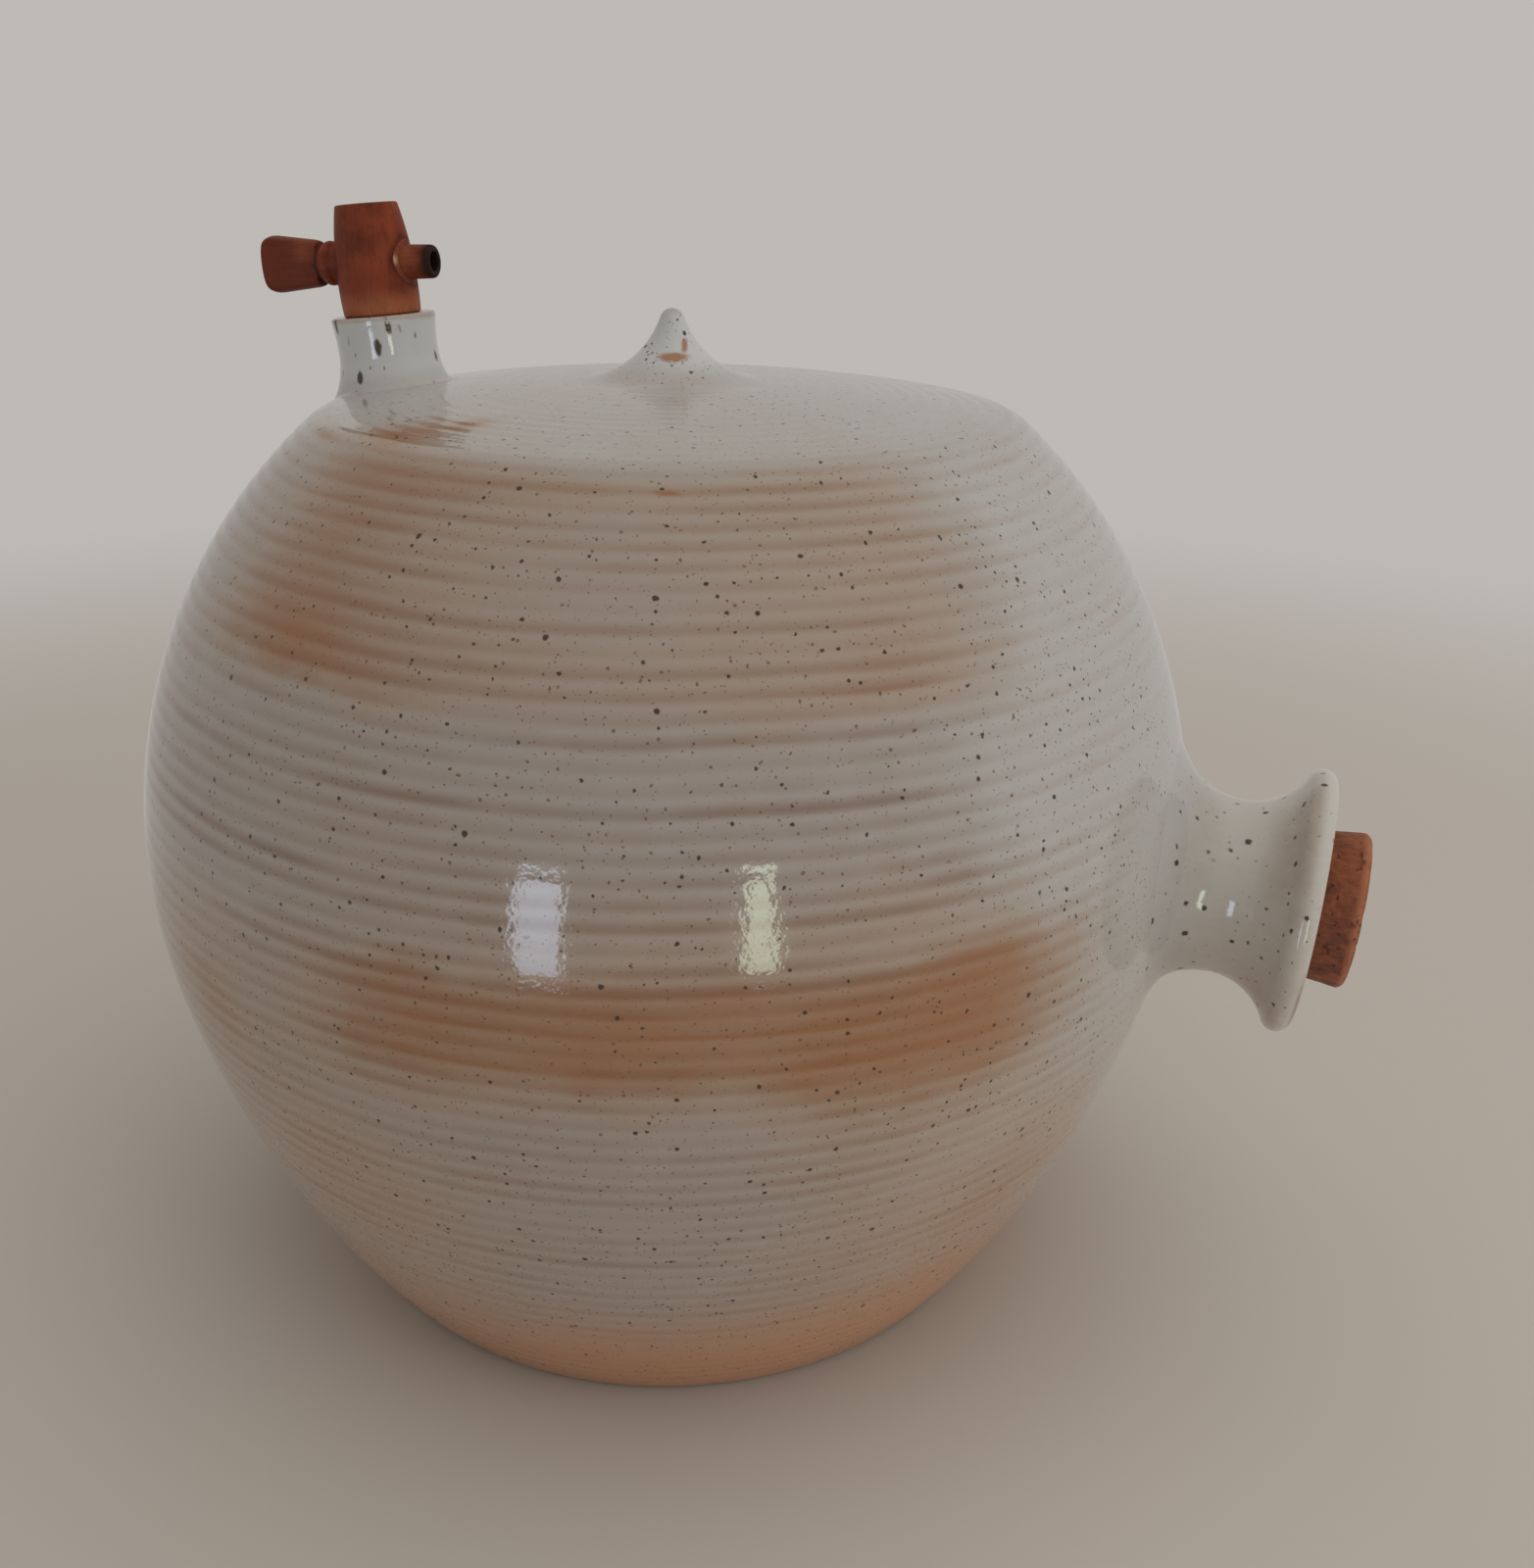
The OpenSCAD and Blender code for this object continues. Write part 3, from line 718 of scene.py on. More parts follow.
def iron_wash_and_painted_light(f):
    """Iron wash on the pot, with painted shade low on the left and a painted reflection of the tap by the collar:
    its share, the part of it by the foot and the tone it leaves.
    """
    x, y, z = f.split(f.mm)
    wobble = f.noise(f.mm, 1 / 24, 3.0) - 0.5
    height = z + 15 * wobble * (1 - 0.9 * f.ease(z, *STEADY_HEIGHT))
    turned = f.sole("ARCTAN2", y, x) * math.degrees(1) + 9 * wobble
    crown = f.ease(z, *CROWN_START)
    far_side = 1 - f.ease(neck_side(f, x, y), 0.56, 0.8)
    # The painted parts belong to the front; round the back the wash is looser
    loose = 0.3 + 0.7 * f.ease(f.noise(f.mm, 1 / 95, 2.0), 0.35, 0.65)
    wild = loose * f.ease(towards(BACK, x, y), -40.0, 90.0)
    shoulder = f.ease(height, *SHOULDER_START) * (1 - crown)
    belt = f.ease(height, *BELT_START) * (1 - f.ease(height, *BELT_END))
    foot = 1 - f.ease(height, *PEACH_FOOT)
    lower_edge = hill(f, (height - 199) / 9)
    upper_line = hill(f, (height - 231) / 3.5, (turned + 82) / 30)
    foot = foot * (0.7 + 0.3 * hill(f, (turned + 42) / 45))
    share = (shoulder * (around(f, turned, SHOULDER_WASH) * (1 + 0.35 * lower_edge) + 0.5 * wild)
             + belt * (around(f, turned, BELLY_BELT) + 0.12 * far_side + 0.6 * wild)
             + patches(f, turned, height, IRON_PATCHES_AND_PAINTED_LIGHT) + 0.22 * upper_line
             + far_side * (0.1 * crown - 0.03) + 0.1 * wild * (1 - crown) + 0.75 * foot)
    streak = f.noise(f.joined(x, y, 8 * z), 1 / 26, 4.0, 0.65) - 0.5
    grain = f.noise(f.mm, 1 / 1.6, 3.0, 0.7) - 0.5
    return share, foot, 0.95 * share + streak * (0.14 + 0.3 * share) + 0.14 * grain


def crock_glaze(colours):
    """Glaze of the thrown pot: soft ring bands, an iron wash in bands and patches with painted shade and a painted
    reflection of the tap among them, and specks.
    """
    f = Finish("crock_glaze", colours)
    x, y, z = f.split(f.mm)
    turns = f.kept("turns")
    ring = f.sole("FLOOR", turns)
    along = turns - ring
    luck, other_luck = f.chance(ring), f.chance(ring + 40.5)
    # The wash and its tone also carry painted shade low on the left and the painted reflection of the tap by the
    # collar
    wash, foot, tone = iron_wash_and_painted_light(f)

    # Bands that a brush leaves on a turning pot: a sharp lower and a soft upper edge
    sweep = f.noise(f.joined(x, y, 31 * ring), 1 / 46, 2.0)
    fine_sweep = f.noise(f.joined(x, y, 31 * ring + 11), 1 / 34, 2.0)
    brush = f.ease(along, 0.0, 0.4) * (1 - f.ease(along, 0.4, 1.0))
    band = brush * (0.5 + 0.5 * luck) * (0.5 + 0.5 * f.ease(sweep, 0.36, 0.62))
    hair = (1 - f.ease(abs(along - 0.3), 0.02, 0.2)) * f.ease(other_luck, 0.45, 0.95)
    hair = hair * f.ease(fine_sweep, 0.45, 0.62)
    gain = f.kept("ring_share") * (1 - 0.5 * f.ease(z, *QUIET_RINGS))
    tone = tone + gain * (0.13 * (band - 0.1) + 0.12 * wash * (band - 0.3))
    tone = tone + 0.2 * gain * hair * (0.25 + wash)

    ground, thin = glaze_ground(f)
    ground = stained_glaze(f, ground, tone)
    lines = gain * band * (0.1 + 0.45 * thin) * (0.62 + 0.5 * hill(f, (z - 165) / 32))
    ground = f.mix(lines, ground, "brown")
    low = 0.4 * wash * (1 - f.ease(z, *PEACH_FLANK))
    ground = f.mix(f.sole("MINIMUM", 0.8 * foot + low, 0.9), ground, "peach")
    ground = f.mix(f.ease(z, *PEAK_START) * 0.8, ground, "pale_blue")
    ground = f.mix(rust_on_peak(f, x, y, z), ground, "iron")
    ground = f.mix(0.35 * f.ease(z, *PEAK_TIP), ground, "brown")
    ground = f.specked(ground, POT_SPECKS, f.mm)
    bare = 1 - f.ease(z, *BARE_FOOT)
    ground = f.mix(bare, ground, "clay")
    dull = 0.05 * wash + 0.12 * foot + 0.5 * bare + 0.06 * f.ease(z, *DULL_CROWN)
    return f.surface(ground, GLAZE_ROUGHNESS + dull, orange_peel(f), GLAZE_RIPPLE)


def neck_glaze(colours, place):
    """Glaze of the neck: pale glaze painted brighter as painted light, painted shade through the flare's hollow
    with a tan tint on its front, and a brown line on the lip.
    """
    f = Finish("neck_glaze", colours)
    x, y, h = f.split(f.local(place))
    far = f.radius(x, y)
    cloud = f.noise(f.mm, 1 / 13, 3.0)
    tone = iron_wash_and_painted_light(f)[2]
    # Beyond the root the neck's glaze is painted brighter than the pot's, as painted light
    ground = f.mix(f.ease(h, *NECK_START), glaze_ground(f)[0], "pale_neck_lit")
    upper = f.ease(towards(UPPER_FRONT, x, y) / far + 0.8 * (cloud - 0.5), 0.6, 1.05)
    lower = f.ease(towards(LOWER_FRONT, x, y) / far + 0.8 * (cloud - 0.5), 0.7, 1.1)
    flare = f.ease(h, *FLARE_START) * (1 - f.ease(h, *FLARE_END))
    root = (1 - f.ease(abs(h - 3), 1.0, 8.0)) * upper
    # The flare's even darkening is painted shade in its hollow; its upper and lower front add a tan tint
    tone = tone + flare * (0.04 + 0.26 * upper + 0.1 * lower) + 0.12 * root
    ground = stained_glaze(f, ground, tone)
    edge = f.ease(h, *LIP_START) * f.ease(far, 29.6, 30.8)
    edge = edge * f.ease(x + 20 * (cloud - 0.5), 2.0, 12.0)
    ground = f.mix(edge * 0.7, ground, "brown")
    ground = f.specked(ground, SPOUT_SPECKS, f.mm)
    return f.surface(ground, GLAZE_ROUGHNESS + 0.1 * flare, orange_peel(f), GLAZE_RIPPLE)


def collar_glaze(colours, place, rim_h):
    """Glaze of the collar: a brown rim line, a patch under the rim and drip-like specks."""
    f = Finish("collar_glaze", colours)
    x, y, h = f.split(f.local(place))
    far = f.radius(x, y)
    cloud = f.noise(f.mm, 1 / 7, 3.0)
    down = rim_h - h
    rim = (1 - f.ease(down + 2.2 * (cloud - 0.5), 0.5, 2.0)) * 0.6
    stain = (1 - f.ease(down, 0.1, 0.5)) * (1 - f.ease(far, 9.8, 12.2))
    under = hill(f, (x - 11.5) / 2.6, (y + 3) / 4, (down - 5 + 3 * (cloud - 0.5)) / 1.0)
    ground = stained_glaze(f, glaze_ground(f)[0], iron_wash_and_painted_light(f)[2])
    ground = f.mix(f.ease(h, *COLLAR_START), ground, "pale_blue")
    ground = f.mix(rim, ground, "tan")
    ground = f.mix(f.sole("MAXIMUM", stain, 0.8 * under), ground, "iron")
    ground = f.specked(ground, DRIP_SPECKS, f.joined(x, y, 0.45 * h))
    return f.surface(ground, GLAZE_ROUGHNESS + 0.12 * rim, orange_peel(f), GLAZE_RIPPLE)


# Wood and cork

def wood(name, colours, place, worn, darkened, stained):
    """Turned wood with its grain along the local axis; three functions place wear and stain."""
    f = Finish(name, colours)
    spot = f.local(place)
    x, y, h = f.split(spot)
    stretched = f.joined(x, y, 0.07 * h)
    grain = f.noise(stretched, 1.6, 4.0, 0.6)
    figure = f.noise(stretched, 0.35, 2.0)
    pores = f.ease(f.noise(stretched, 3.4, 2.0), 0.58, 0.72)
    blotch = f.noise(spot, 1 / 6, 3.0)
    tone = f.ease(0.25 * grain + 0.25 * figure + 0.5 * blotch, 0.34, 0.62)
    tone = tone * (1 - darkened(f, x, y, h))
    ground = f.mix(tone, "wood_dark", "wood_light")
    ground = f.mix(worn(f, x, y, h) * (0.4 + 0.9 * blotch), ground, "wood_worn")
    ground = f.mix(pores * 0.3, ground, "wood_dark")
    dark = stained(f, x, y, h + 3 * (blotch - 0.5))
    ground = f.mix(dark, ground, "wood_stain")
    roughness = 0.4 + 0.2 * blotch + 0.2 * dark
    return f.surface(ground, roughness, grain - 0.6 * pores, 0.09 * MM, gloss=0.15)


def tap_wood(colours, rim_h, key_h):
    """Wood of the tap: worn pale at its foot, dark round the key."""
    def worn(f, x, y, h):
        return 0.85 * (1 - f.ease(h, rim_h + 1.0, rim_h + 7.5))

    def darkened(f, x, y, h):
        return 0.55 * hill(f, (y + 6) / 5, (h - key_h - 10) / 4)

    def stained(f, x, y, h):
        return 0.5 * hill(f, (f.radius(y, h - key_h) - 6) / 0.8)

    return wood("tap_wood", colours, collar_frame(), worn, darkened, stained)


def key_wood(colours, groove_at, mouth_at, bore_r):
    """Wood of the key: darker on the handle, blackened at the spout's end and in the groove."""
    def worn(f, x, y, h):
        spout = hill(f, (h + 10.5) / 2.2)
        handle = hill(f, (h - groove_at - 4) / 2.5, (x - 3) / 3)
        return 0.3 * spout + 0.3 * handle

    def darkened(f, x, y, h):
        return 0.6 * f.ease(h, groove_at - 2.0, groove_at + 2.0)

    def stained(f, x, y, h):
        mouth = 1 - f.ease(h, mouth_at + 0.5, mouth_at + 3.4)
        bore = 1 - f.ease(f.radius(x, y), bore_r, bore_r + 0.3)
        dark = f.sole("MAXIMUM", bore * (1 - f.ease(h, 0.0, 1.0)), 0.92 * mouth)
        return f.sole("MAXIMUM", dark, 0.75 * hill(f, (h - groove_at) / 0.6))

    return wood("key_wood", colours, key_frame(), worn, darkened, stained)


def bung_cork(colours, place, outer_end):
    """Aged cork: mottled, with dark pores and a paler worn edge."""
    f = Finish("bung_cork", colours)
    spot = f.local(place)
    x, y, h = f.split(spot)
    mottle = f.noise(f.joined(x, y, 0.5 * h), 1 / 3.4, 4.0, 0.65)
    cells = f.add("ShaderNodeTexVoronoi", None, {"Vector": spot, "Scale": 1 / 1.5}, "Distance")
    pores = f.ease(f.noise(f.joined(x, 0.35 * y, h), 1 / 1.9, 2.0), 0.6, 0.72)
    edge = 1 - f.ease(abs(h - outer_end), 0.3, 1.5)
    ground = f.mix(f.ease(mottle, 0.26, 0.54), "cork_dark", "cork_mid")
    ground = f.mix(f.ease(mottle + 0.25 * cells, 0.6, 0.85) * 0.45, ground, "cork_light")
    ground = f.mix(edge * (0.35 + 0.6 * mottle), ground, "cork_light")
    ground = f.mix(pores * 0.75, ground, "cork_dark")
    return f.surface(ground, 0.62 + 0.2 * mottle, mottle + 0.3 * cells - 0.9 * pores, 0.4 * MM)


def liner_cork(colours):
    """Cork of the liner, dark with vinegar but for a pale chip beside the spout."""
    f = Finish("liner_cork", colours)
    x, y, h = f.split(f.local(key_frame()))
    mottle = f.noise(f.mm, 1 / 1.6, 4.0, 0.6)
    chip = hill(f, (x - 0.8) / 1.1, (y + 5.4) / 0.8, (h + 8.6) / 2.0)
    ground = f.mix(f.ease(mottle, 0.3, 0.7), "wood_dark", "wood_light")
    ground = f.mix(chip, ground, "seal_light")
    return f.surface(ground, 0.7 + 0.15 * mottle, mottle, 0.2 * MM)


def seal_cork(colours):
    """Paler cork of the sleeve."""
    f = Finish("seal_cork", colours)
    mottle = f.noise(f.mm, 1 / 2.2, 4.0, 0.6)
    pores = f.ease(f.noise(f.mm, 1 / 0.9, 2.0), 0.6, 0.72)
    ground = f.mix(f.ease(mottle, 0.3, 0.7), "cork_light", "seal_light")
    ground = f.mix(pores * 0.6, ground, "cork_mid")
    return f.surface(ground, 0.75 + 0.1 * mottle, mottle - 0.8 * pores, 0.3 * MM)


# Throwing rings

# Distances in metres over which the rings come in: out from the axes of the neck, the collar and
# the pot, and up from the foot
RINGS_BY_NECK, RINGS_BY_COLLAR = (0.040, 0.068), (0.024, 0.040)
RINGS_BY_PEAK, RINGS_BY_FOOT = (0.012, 0.030), (0.002, 0.010)
# Distances over which their depth grows: out from the pot's axis, and up or down from the belly
DEEPER_OUT, DEEPER_AWAY = (0.030, 0.075), (0.03, 0.09)


def ring_tree():
    """Geometry nodes that count the throwing rings up the flank and press them into it."""
    group = bpy.data.node_groups.new("throwing_rings", "GeometryNodeTree")
    ports = {}
    for name, kind in (("Geometry", "Geometry"), ("Ring Pitch", "Float"), ("Ring Depth", "Float"),
                       ("Ring Wander", "Float"), ("Seed", "Float"), ("Glaze", "Material")):
        socket = group.interface.new_socket(name, in_out="INPUT",
                                            socket_type=f"NodeSocket{kind}")
        ports[name] = socket.identifier
    group.interface.new_socket("Geometry", in_out="OUTPUT", socket_type="NodeSocketGeometry")
    t = Tree(group)
    given = t.add("NodeGroupInput", out="Geometry")
    rise, share = (t.add("GeometryNodeInputNamedAttribute", {"data_type": "FLOAT"}, {"Name": name})
                   for name in ("rise", "ring_relief"))
    place = t.add("GeometryNodeInputPosition")
    stray = t.add("ShaderNodeTexNoise", {"noise_dimensions": "4D"},
                  {"Vector": place, "W": given.out("Seed"), "Scale": 14.0, "Detail": 2.0}, "Fac")
    swell = t.add("ShaderNodeTexNoise", {"noise_dimensions": "4D"},
                  {"Vector": place, "W": given.out("Seed") + 9.0, "Scale": 40.0}, "Fac")
    turns = (rise + (stray - 0.5) * given.out("Ring Wander")) / given.out("Ring Pitch")
    wave = t.sole("SINE", turns * (2 * math.pi))
    depth = wave * share * given.out("Ring Depth") * (0.3 + 1.4 * swell)
    normal = t.add("GeometryNodeInputNormal")
    pressed = t.add("GeometryNodeSetPosition", None,
                    {"Geometry": given, "Offset": t.scaled(normal, depth)})
    counted = t.add("GeometryNodeStoreNamedAttribute",
                    {"data_type": "FLOAT", "domain": "POINT"},
                    {"Geometry": pressed, "Name": "turns", "Value": turns})
    whole = t.add("GeometryNodeRealizeInstances", None, {"Geometry": counted})
    glazed = t.add("GeometryNodeSetMaterial", None,
                   {"Geometry": whole, "Material": given.out("Glaze")})
    t.add("NodeGroupOutput", None, {"Geometry": glazed})
    return group, ports


def ring_share_of(spots, shape, section):
    """For the pot's vertices: distance up the outside, share of ring colour and share of depth."""
    s = shape.s
    rise = np.concatenate([[0], np.cumsum(np.linalg.norm(np.diff(section, axis=0), axis=1))])
    out = np.hypot(spots[:, 0], spots[:, 1])
    turn = np.arctan2(spots[:, 2] - s.belly_z, out)
    section_turn = np.arctan2(section[:, 1] - s.belly_z, section[:, 0])
    section_far = np.hypot(section[:, 1] - s.belly_z, section[:, 0])
    far = np.hypot(spots[:, 2] - s.belly_z, out)
    outside = np.abs(far - np.interp(turn, section_turn, section_far)) < 0.3 * s.wall
    from_neck = distance_from_axis(spots, neck_frame())[0]
    from_neck = np.where(spots[:, 0] > 0, from_neck, 1.0)
    from_collar = distance_from_axis(spots, collar_frame())[0]
    from_collar = np.where(spots[:, 2] > s.belly_z, from_collar, 1.0)
    share = (ease(from_neck, *RINGS_BY_NECK) * ease(from_collar, *RINGS_BY_COLLAR)
             * ease(spots[:, 2], *RINGS_BY_FOOT) * ease(out, *RINGS_BY_PEAK))
    away = np.abs(spots[:, 2] - s.belly_z - 0.01)
    relief = share * (0.2 + 0.8 * ease(away, *DEEPER_AWAY))
    relief = relief * (0.35 + 0.65 * ease(out, *DEEPER_OUT))
    return (np.interp(turn, section_turn, rise), np.where(outside, share, 0.0),
            np.where(outside, relief, 0.0))


# Operators

# Gap between the rows of the pot's hidden inside
CHAMBER_GAP = 6 * MM
# How much wider the pot's holes are than the bores of the neck and the collar
NECK_HOLE_EASE, COLLAR_HOLE_EASE = 0.6 * MM, 0.4 * MM
# Height above a spout's foot from which the pot's surface is looked for
LOOK_FROM = 30 * MM
# How far the outer edge of a spout's root lies under the pot's surface
EDGE_SUNK = 0.4 * MM
# Angle on the arc of a spout's hollow side at which it goes over into the slope of the root
NECK_ROOT_TURN, COLLAR_ROOT_TURN = math.radians(224), math.radians(232)
# Where the bores of the neck and the collar end, in from the surface that the spout stands on
NECK_BORE_END, COLLAR_BORE_END = -7.4 * MM, -7.2 * MM
# Scales of the cork's broad and fine dents, per metre
BROAD_DENTS, FINE_DENTS = 210, 620


class CROCK_OT_pot(bpy.types.Operator):
    """Makes the glazed pot with its throwing rings"""
    bl_idname = "crock.pot"
    bl_label = "Pot"

    def execute(self, context):
        s = context.scene.crock_sizes
        shape = CrockShape(s)
        section = shape.outside(s.row_gap)
        outer, outer_faces = revolved(section, COLUMNS["pot"])
        inner, inner_faces = revolved(shape.inside(CHAMBER_GAP), COLUMNS["chamber"])
        inner_faces = [[index + len(outer) for index in reversed(face)] for face in inner_faces]
        pot = piece_from("stoneware_pot", np.vstack([outer, inner]), outer_faces + inner_faces)
        neck, tap = context.scene.neck_sizes, context.scene.tap_sizes
        neck_hole = neck.waist_d / 2 - neck.wall + NECK_HOLE_EASE
        collar_hole = tap.collar_bore_d / 2 + COLLAR_HOLE_EASE
        cut(pot, drill("neck_drill", neck_frame(), neck_hole, start=-40 * MM, end=20 * MM),
            drill("collar_drill", collar_frame(), collar_hole, start=-30 * MM, end=20 * MM))
        kept = ring_share_of(vertices_of(pot), shape, section)
        for name, values in zip(("rise", "ring_share", "ring_relief"), kept):
            note(pot, name, values)
        material = crock_glaze(context.scene.crock_colours)
        group, ports = ring_tree()
        modifier = pot.modifiers.new("Throwing rings", "NODES")
        modifier.node_group = group
        for name, value in (("Ring Pitch", s.ring_pitch), ("Ring Depth", s.ring_depth),
                            ("Ring Wander", s.ring_wander), ("Seed", float(s.ring_seed)),
                            ("Glaze", material)):
            modifier[ports[name]] = value
        settle(pot)
        pot.data.shade_smooth()
        dress(pot, material, "crock", "stoneware", *CROCK_NODES)
        return {"FINISHED"}


def root_line(waist_r, waist_at, curve_r, turn, edge, arc_gap, slope_gap):
    """Line of a spout's root: a slope in from its edge, then a hollow side up to the waist."""
    side = arc(point(waist_r + curve_r, waist_at), curve_r, turn, math.pi, arc_gap)
    fall = (edge - side[0, 0]) / math.tan(turn - math.pi)
    slope = softened([(edge, side[0, 1] - fall, 0), (*side[0], 0), (*side[1], 0)], slope_gap)
    return run(slope[:-1], side)


def neck_flare(n):
    """Middle of the lip's rounding, and radius of the flare from the waist up to it."""
    lip = point(n.lip_d / 2 - n.lip_r, n.reach - n.lip_r)
    across, up = lip[0] - n.waist_d / 2, lip[1] - n.waist_at
    return lip, (across ** 2 + up ** 2 - n.lip_r ** 2) / (2 * (across + n.lip_r))


def grown(name, place, root, free, edge, blend, columns):
    """Spout whose root runs into the pot: a root line from the edge in, then a free line."""
    pot = bpy.data.objects["stoneware_pot"]
    tree = BVHTree.FromObject(pot, bpy.context.evaluated_depsgraph_get())
    rows = rings(np.vstack([root, free]), columns)
    down = -place.to_3x3().col[2]
    for row in range(len(root)):
        across = root[row, 0]
        sunk = EDGE_SUNK * ease(across, 0.72 * edge, edge)
        kept = 1 - ease(across, 0.78 * edge, 0.99 * edge)
        for column in range(columns):
            x, y, free_h = rows[row, column]
            hit = tree.ray_cast(place @ Vector((x, y, LOOK_FROM)), down)
            ground = LOOK_FROM - hit[3]
            share = max(blend - abs(free_h - ground), 0.0) / blend
            proud = max(free_h, ground) + share * share * blend / 4 - ground
            rows[row, column, 2] = ground + kept * proud - sunk
    spots, faces = skin(rows, True)
    return piece_from(name, placed(spots, place), faces)


class CROCK_OT_neck(bpy.types.Operator):
    """Makes the filler neck, grown out of the pot's flank"""
    bl_idname = "crock.neck"
    bl_label = "Filler neck"

    def execute(self, context):
        n = context.scene.neck_sizes
        waist_r = n.waist_d / 2
        bore_r = waist_r - n.wall
        lip, flare_r = neck_flare(n)
        flare = point(waist_r + flare_r, n.waist_at)
        root = root_line(waist_r, n.waist_at, n.root_r, NECK_ROOT_TURN, n.root_edge,
                         arc_gap=0.6 * MM, slope_gap=0.7 * MM)
        touch = heading(flare, lip)
        # The inside of the flare ends level with the middle of the lip's rounding
        inner_r = flare_r + n.wall
        inner_touch = math.pi - math.asin((lip[1] - n.waist_at) / inner_r)
        free = run(
            arc(flare, flare_r, math.pi, touch, 0.7 * MM)[1:],
            arc(lip, n.lip_r, touch - math.pi, math.pi, 0.5 * MM),
            arc(flare, inner_r, inner_touch, math.pi, 0.8 * MM),
            softened([(bore_r, n.waist_at, 0), (bore_r, 0, 0), (bore_r, NECK_BORE_END, 0)],
                     3 * MM))
        neck = grown("stoneware_neck", neck_frame(), root, free, n.root_edge, n.root_blend,
                     COLUMNS["neck"])
        material = neck_glaze(context.scene.crock_colours, neck_frame())
        dress(neck, material, "crock", "stoneware", "filler_neck")
        return {"FINISHED"}


class CROCK_OT_collar(bpy.types.Operator):
    """Makes the tap's collar, grown out of the pot's crown"""
    bl_idname = "crock.collar"
    bl_label = "Tap collar"

    def execute(self, context):
        t = context.scene.tap_sizes
        waist_r, bore_r = t.collar_waist_d / 2, t.collar_bore_d / 2
        rise = t.collar_h - t.collar_waist_at
        rim_mid = point(waist_r + t.collar_rim_curve, t.collar_waist_at)
        rim_turn = math.pi - math.asin((rise - t.collar_rim_r) / t.collar_rim_curve)
        root = root_line(waist_r, t.collar_waist_at, t.collar_foot_curve, COLLAR_ROOT_TURN,
                         t.collar_edge, arc_gap=0.5 * MM, slope_gap=0.5 * MM)
        side = arc(rim_mid, t.collar_rim_curve, math.pi, rim_turn, 0.5 * MM)
        rim = softened([(*side[-2], 0), (side[-1, 0], t.collar_h, t.collar_rim_r),
                        (bore_r, t.collar_h, 0.3 * MM), (bore_r, 0, 0),
                        (bore_r, COLLAR_BORE_END, 0)], 0.6 * MM)
        collar = grown("stoneware_collar", collar_frame(), root, run(side[1:-2], rim),
                       t.collar_edge, t.collar_blend, COLUMNS["collar"])
        material = collar_glaze(context.scene.crock_colours, collar_frame(), t.collar_h / MM)
        dress(collar, material, "crock", "stoneware", "tap_collar")
        return {"FINISHED"}


class CROCK_OT_cork(bpy.types.Operator):
    """Makes the tapered bung cork"""
    bl_idname = "crock.cork"
    bl_label = "Bung cork"

    def execute(self, context):
        n = context.scene.neck_sizes
        flare_r = neck_flare(n)[1]
        slant = math.sqrt(1 + n.cork_taper ** 2)
        throat = n.waist_d / 2 + flare_r - (flare_r + n.wall + n.cork_gap) * slant

        def radius(h):
            return throat + n.cork_taper * (h - n.waist_at)

        start, end = n.waist_at - n.cork_below, n.reach + n.cork_proud
        shoulder = end - n.cork_bevel
        section = softened([(0, start, 0), (radius(start), start, 0.5 * MM),
                            (radius(shoulder), shoulder, 0.5 * MM),
                            (radius(end) - n.cork_bevel, end, 0.5 * MM), (0, end, 0)], 0.9 * MM)
        spots, faces = revolved(section, COLUMNS["cork"])
        for spot in spots:
            broad = noise.noise(Vector(spot) * BROAD_DENTS)
            fine = noise.noise(Vector((spot[0], spot[1], 0.4 * spot[2])) * FINE_DENTS)
            dent = max(broad - 0.12, 0) * 0.5 + max(fine - 0.3, 0)
            far = math.hypot(spot[0], spot[1])
            if far > 1e-6:
                spot[:2] *= 1 - dent * 0.7 * MM / max(far, 0.004)
            if spot[2] > shoulder:
                spot[2] -= dent * 0.5 * MM
        cork = piece_from("bung_cork_piece", placed(spots, neck_frame()), faces)
        material = bung_cork(context.scene.crock_colours, neck_frame(), shoulder / MM)
        dress(cork, material, "cork", "bung_cork", "filler_cork")
        return {"FINISHED"}


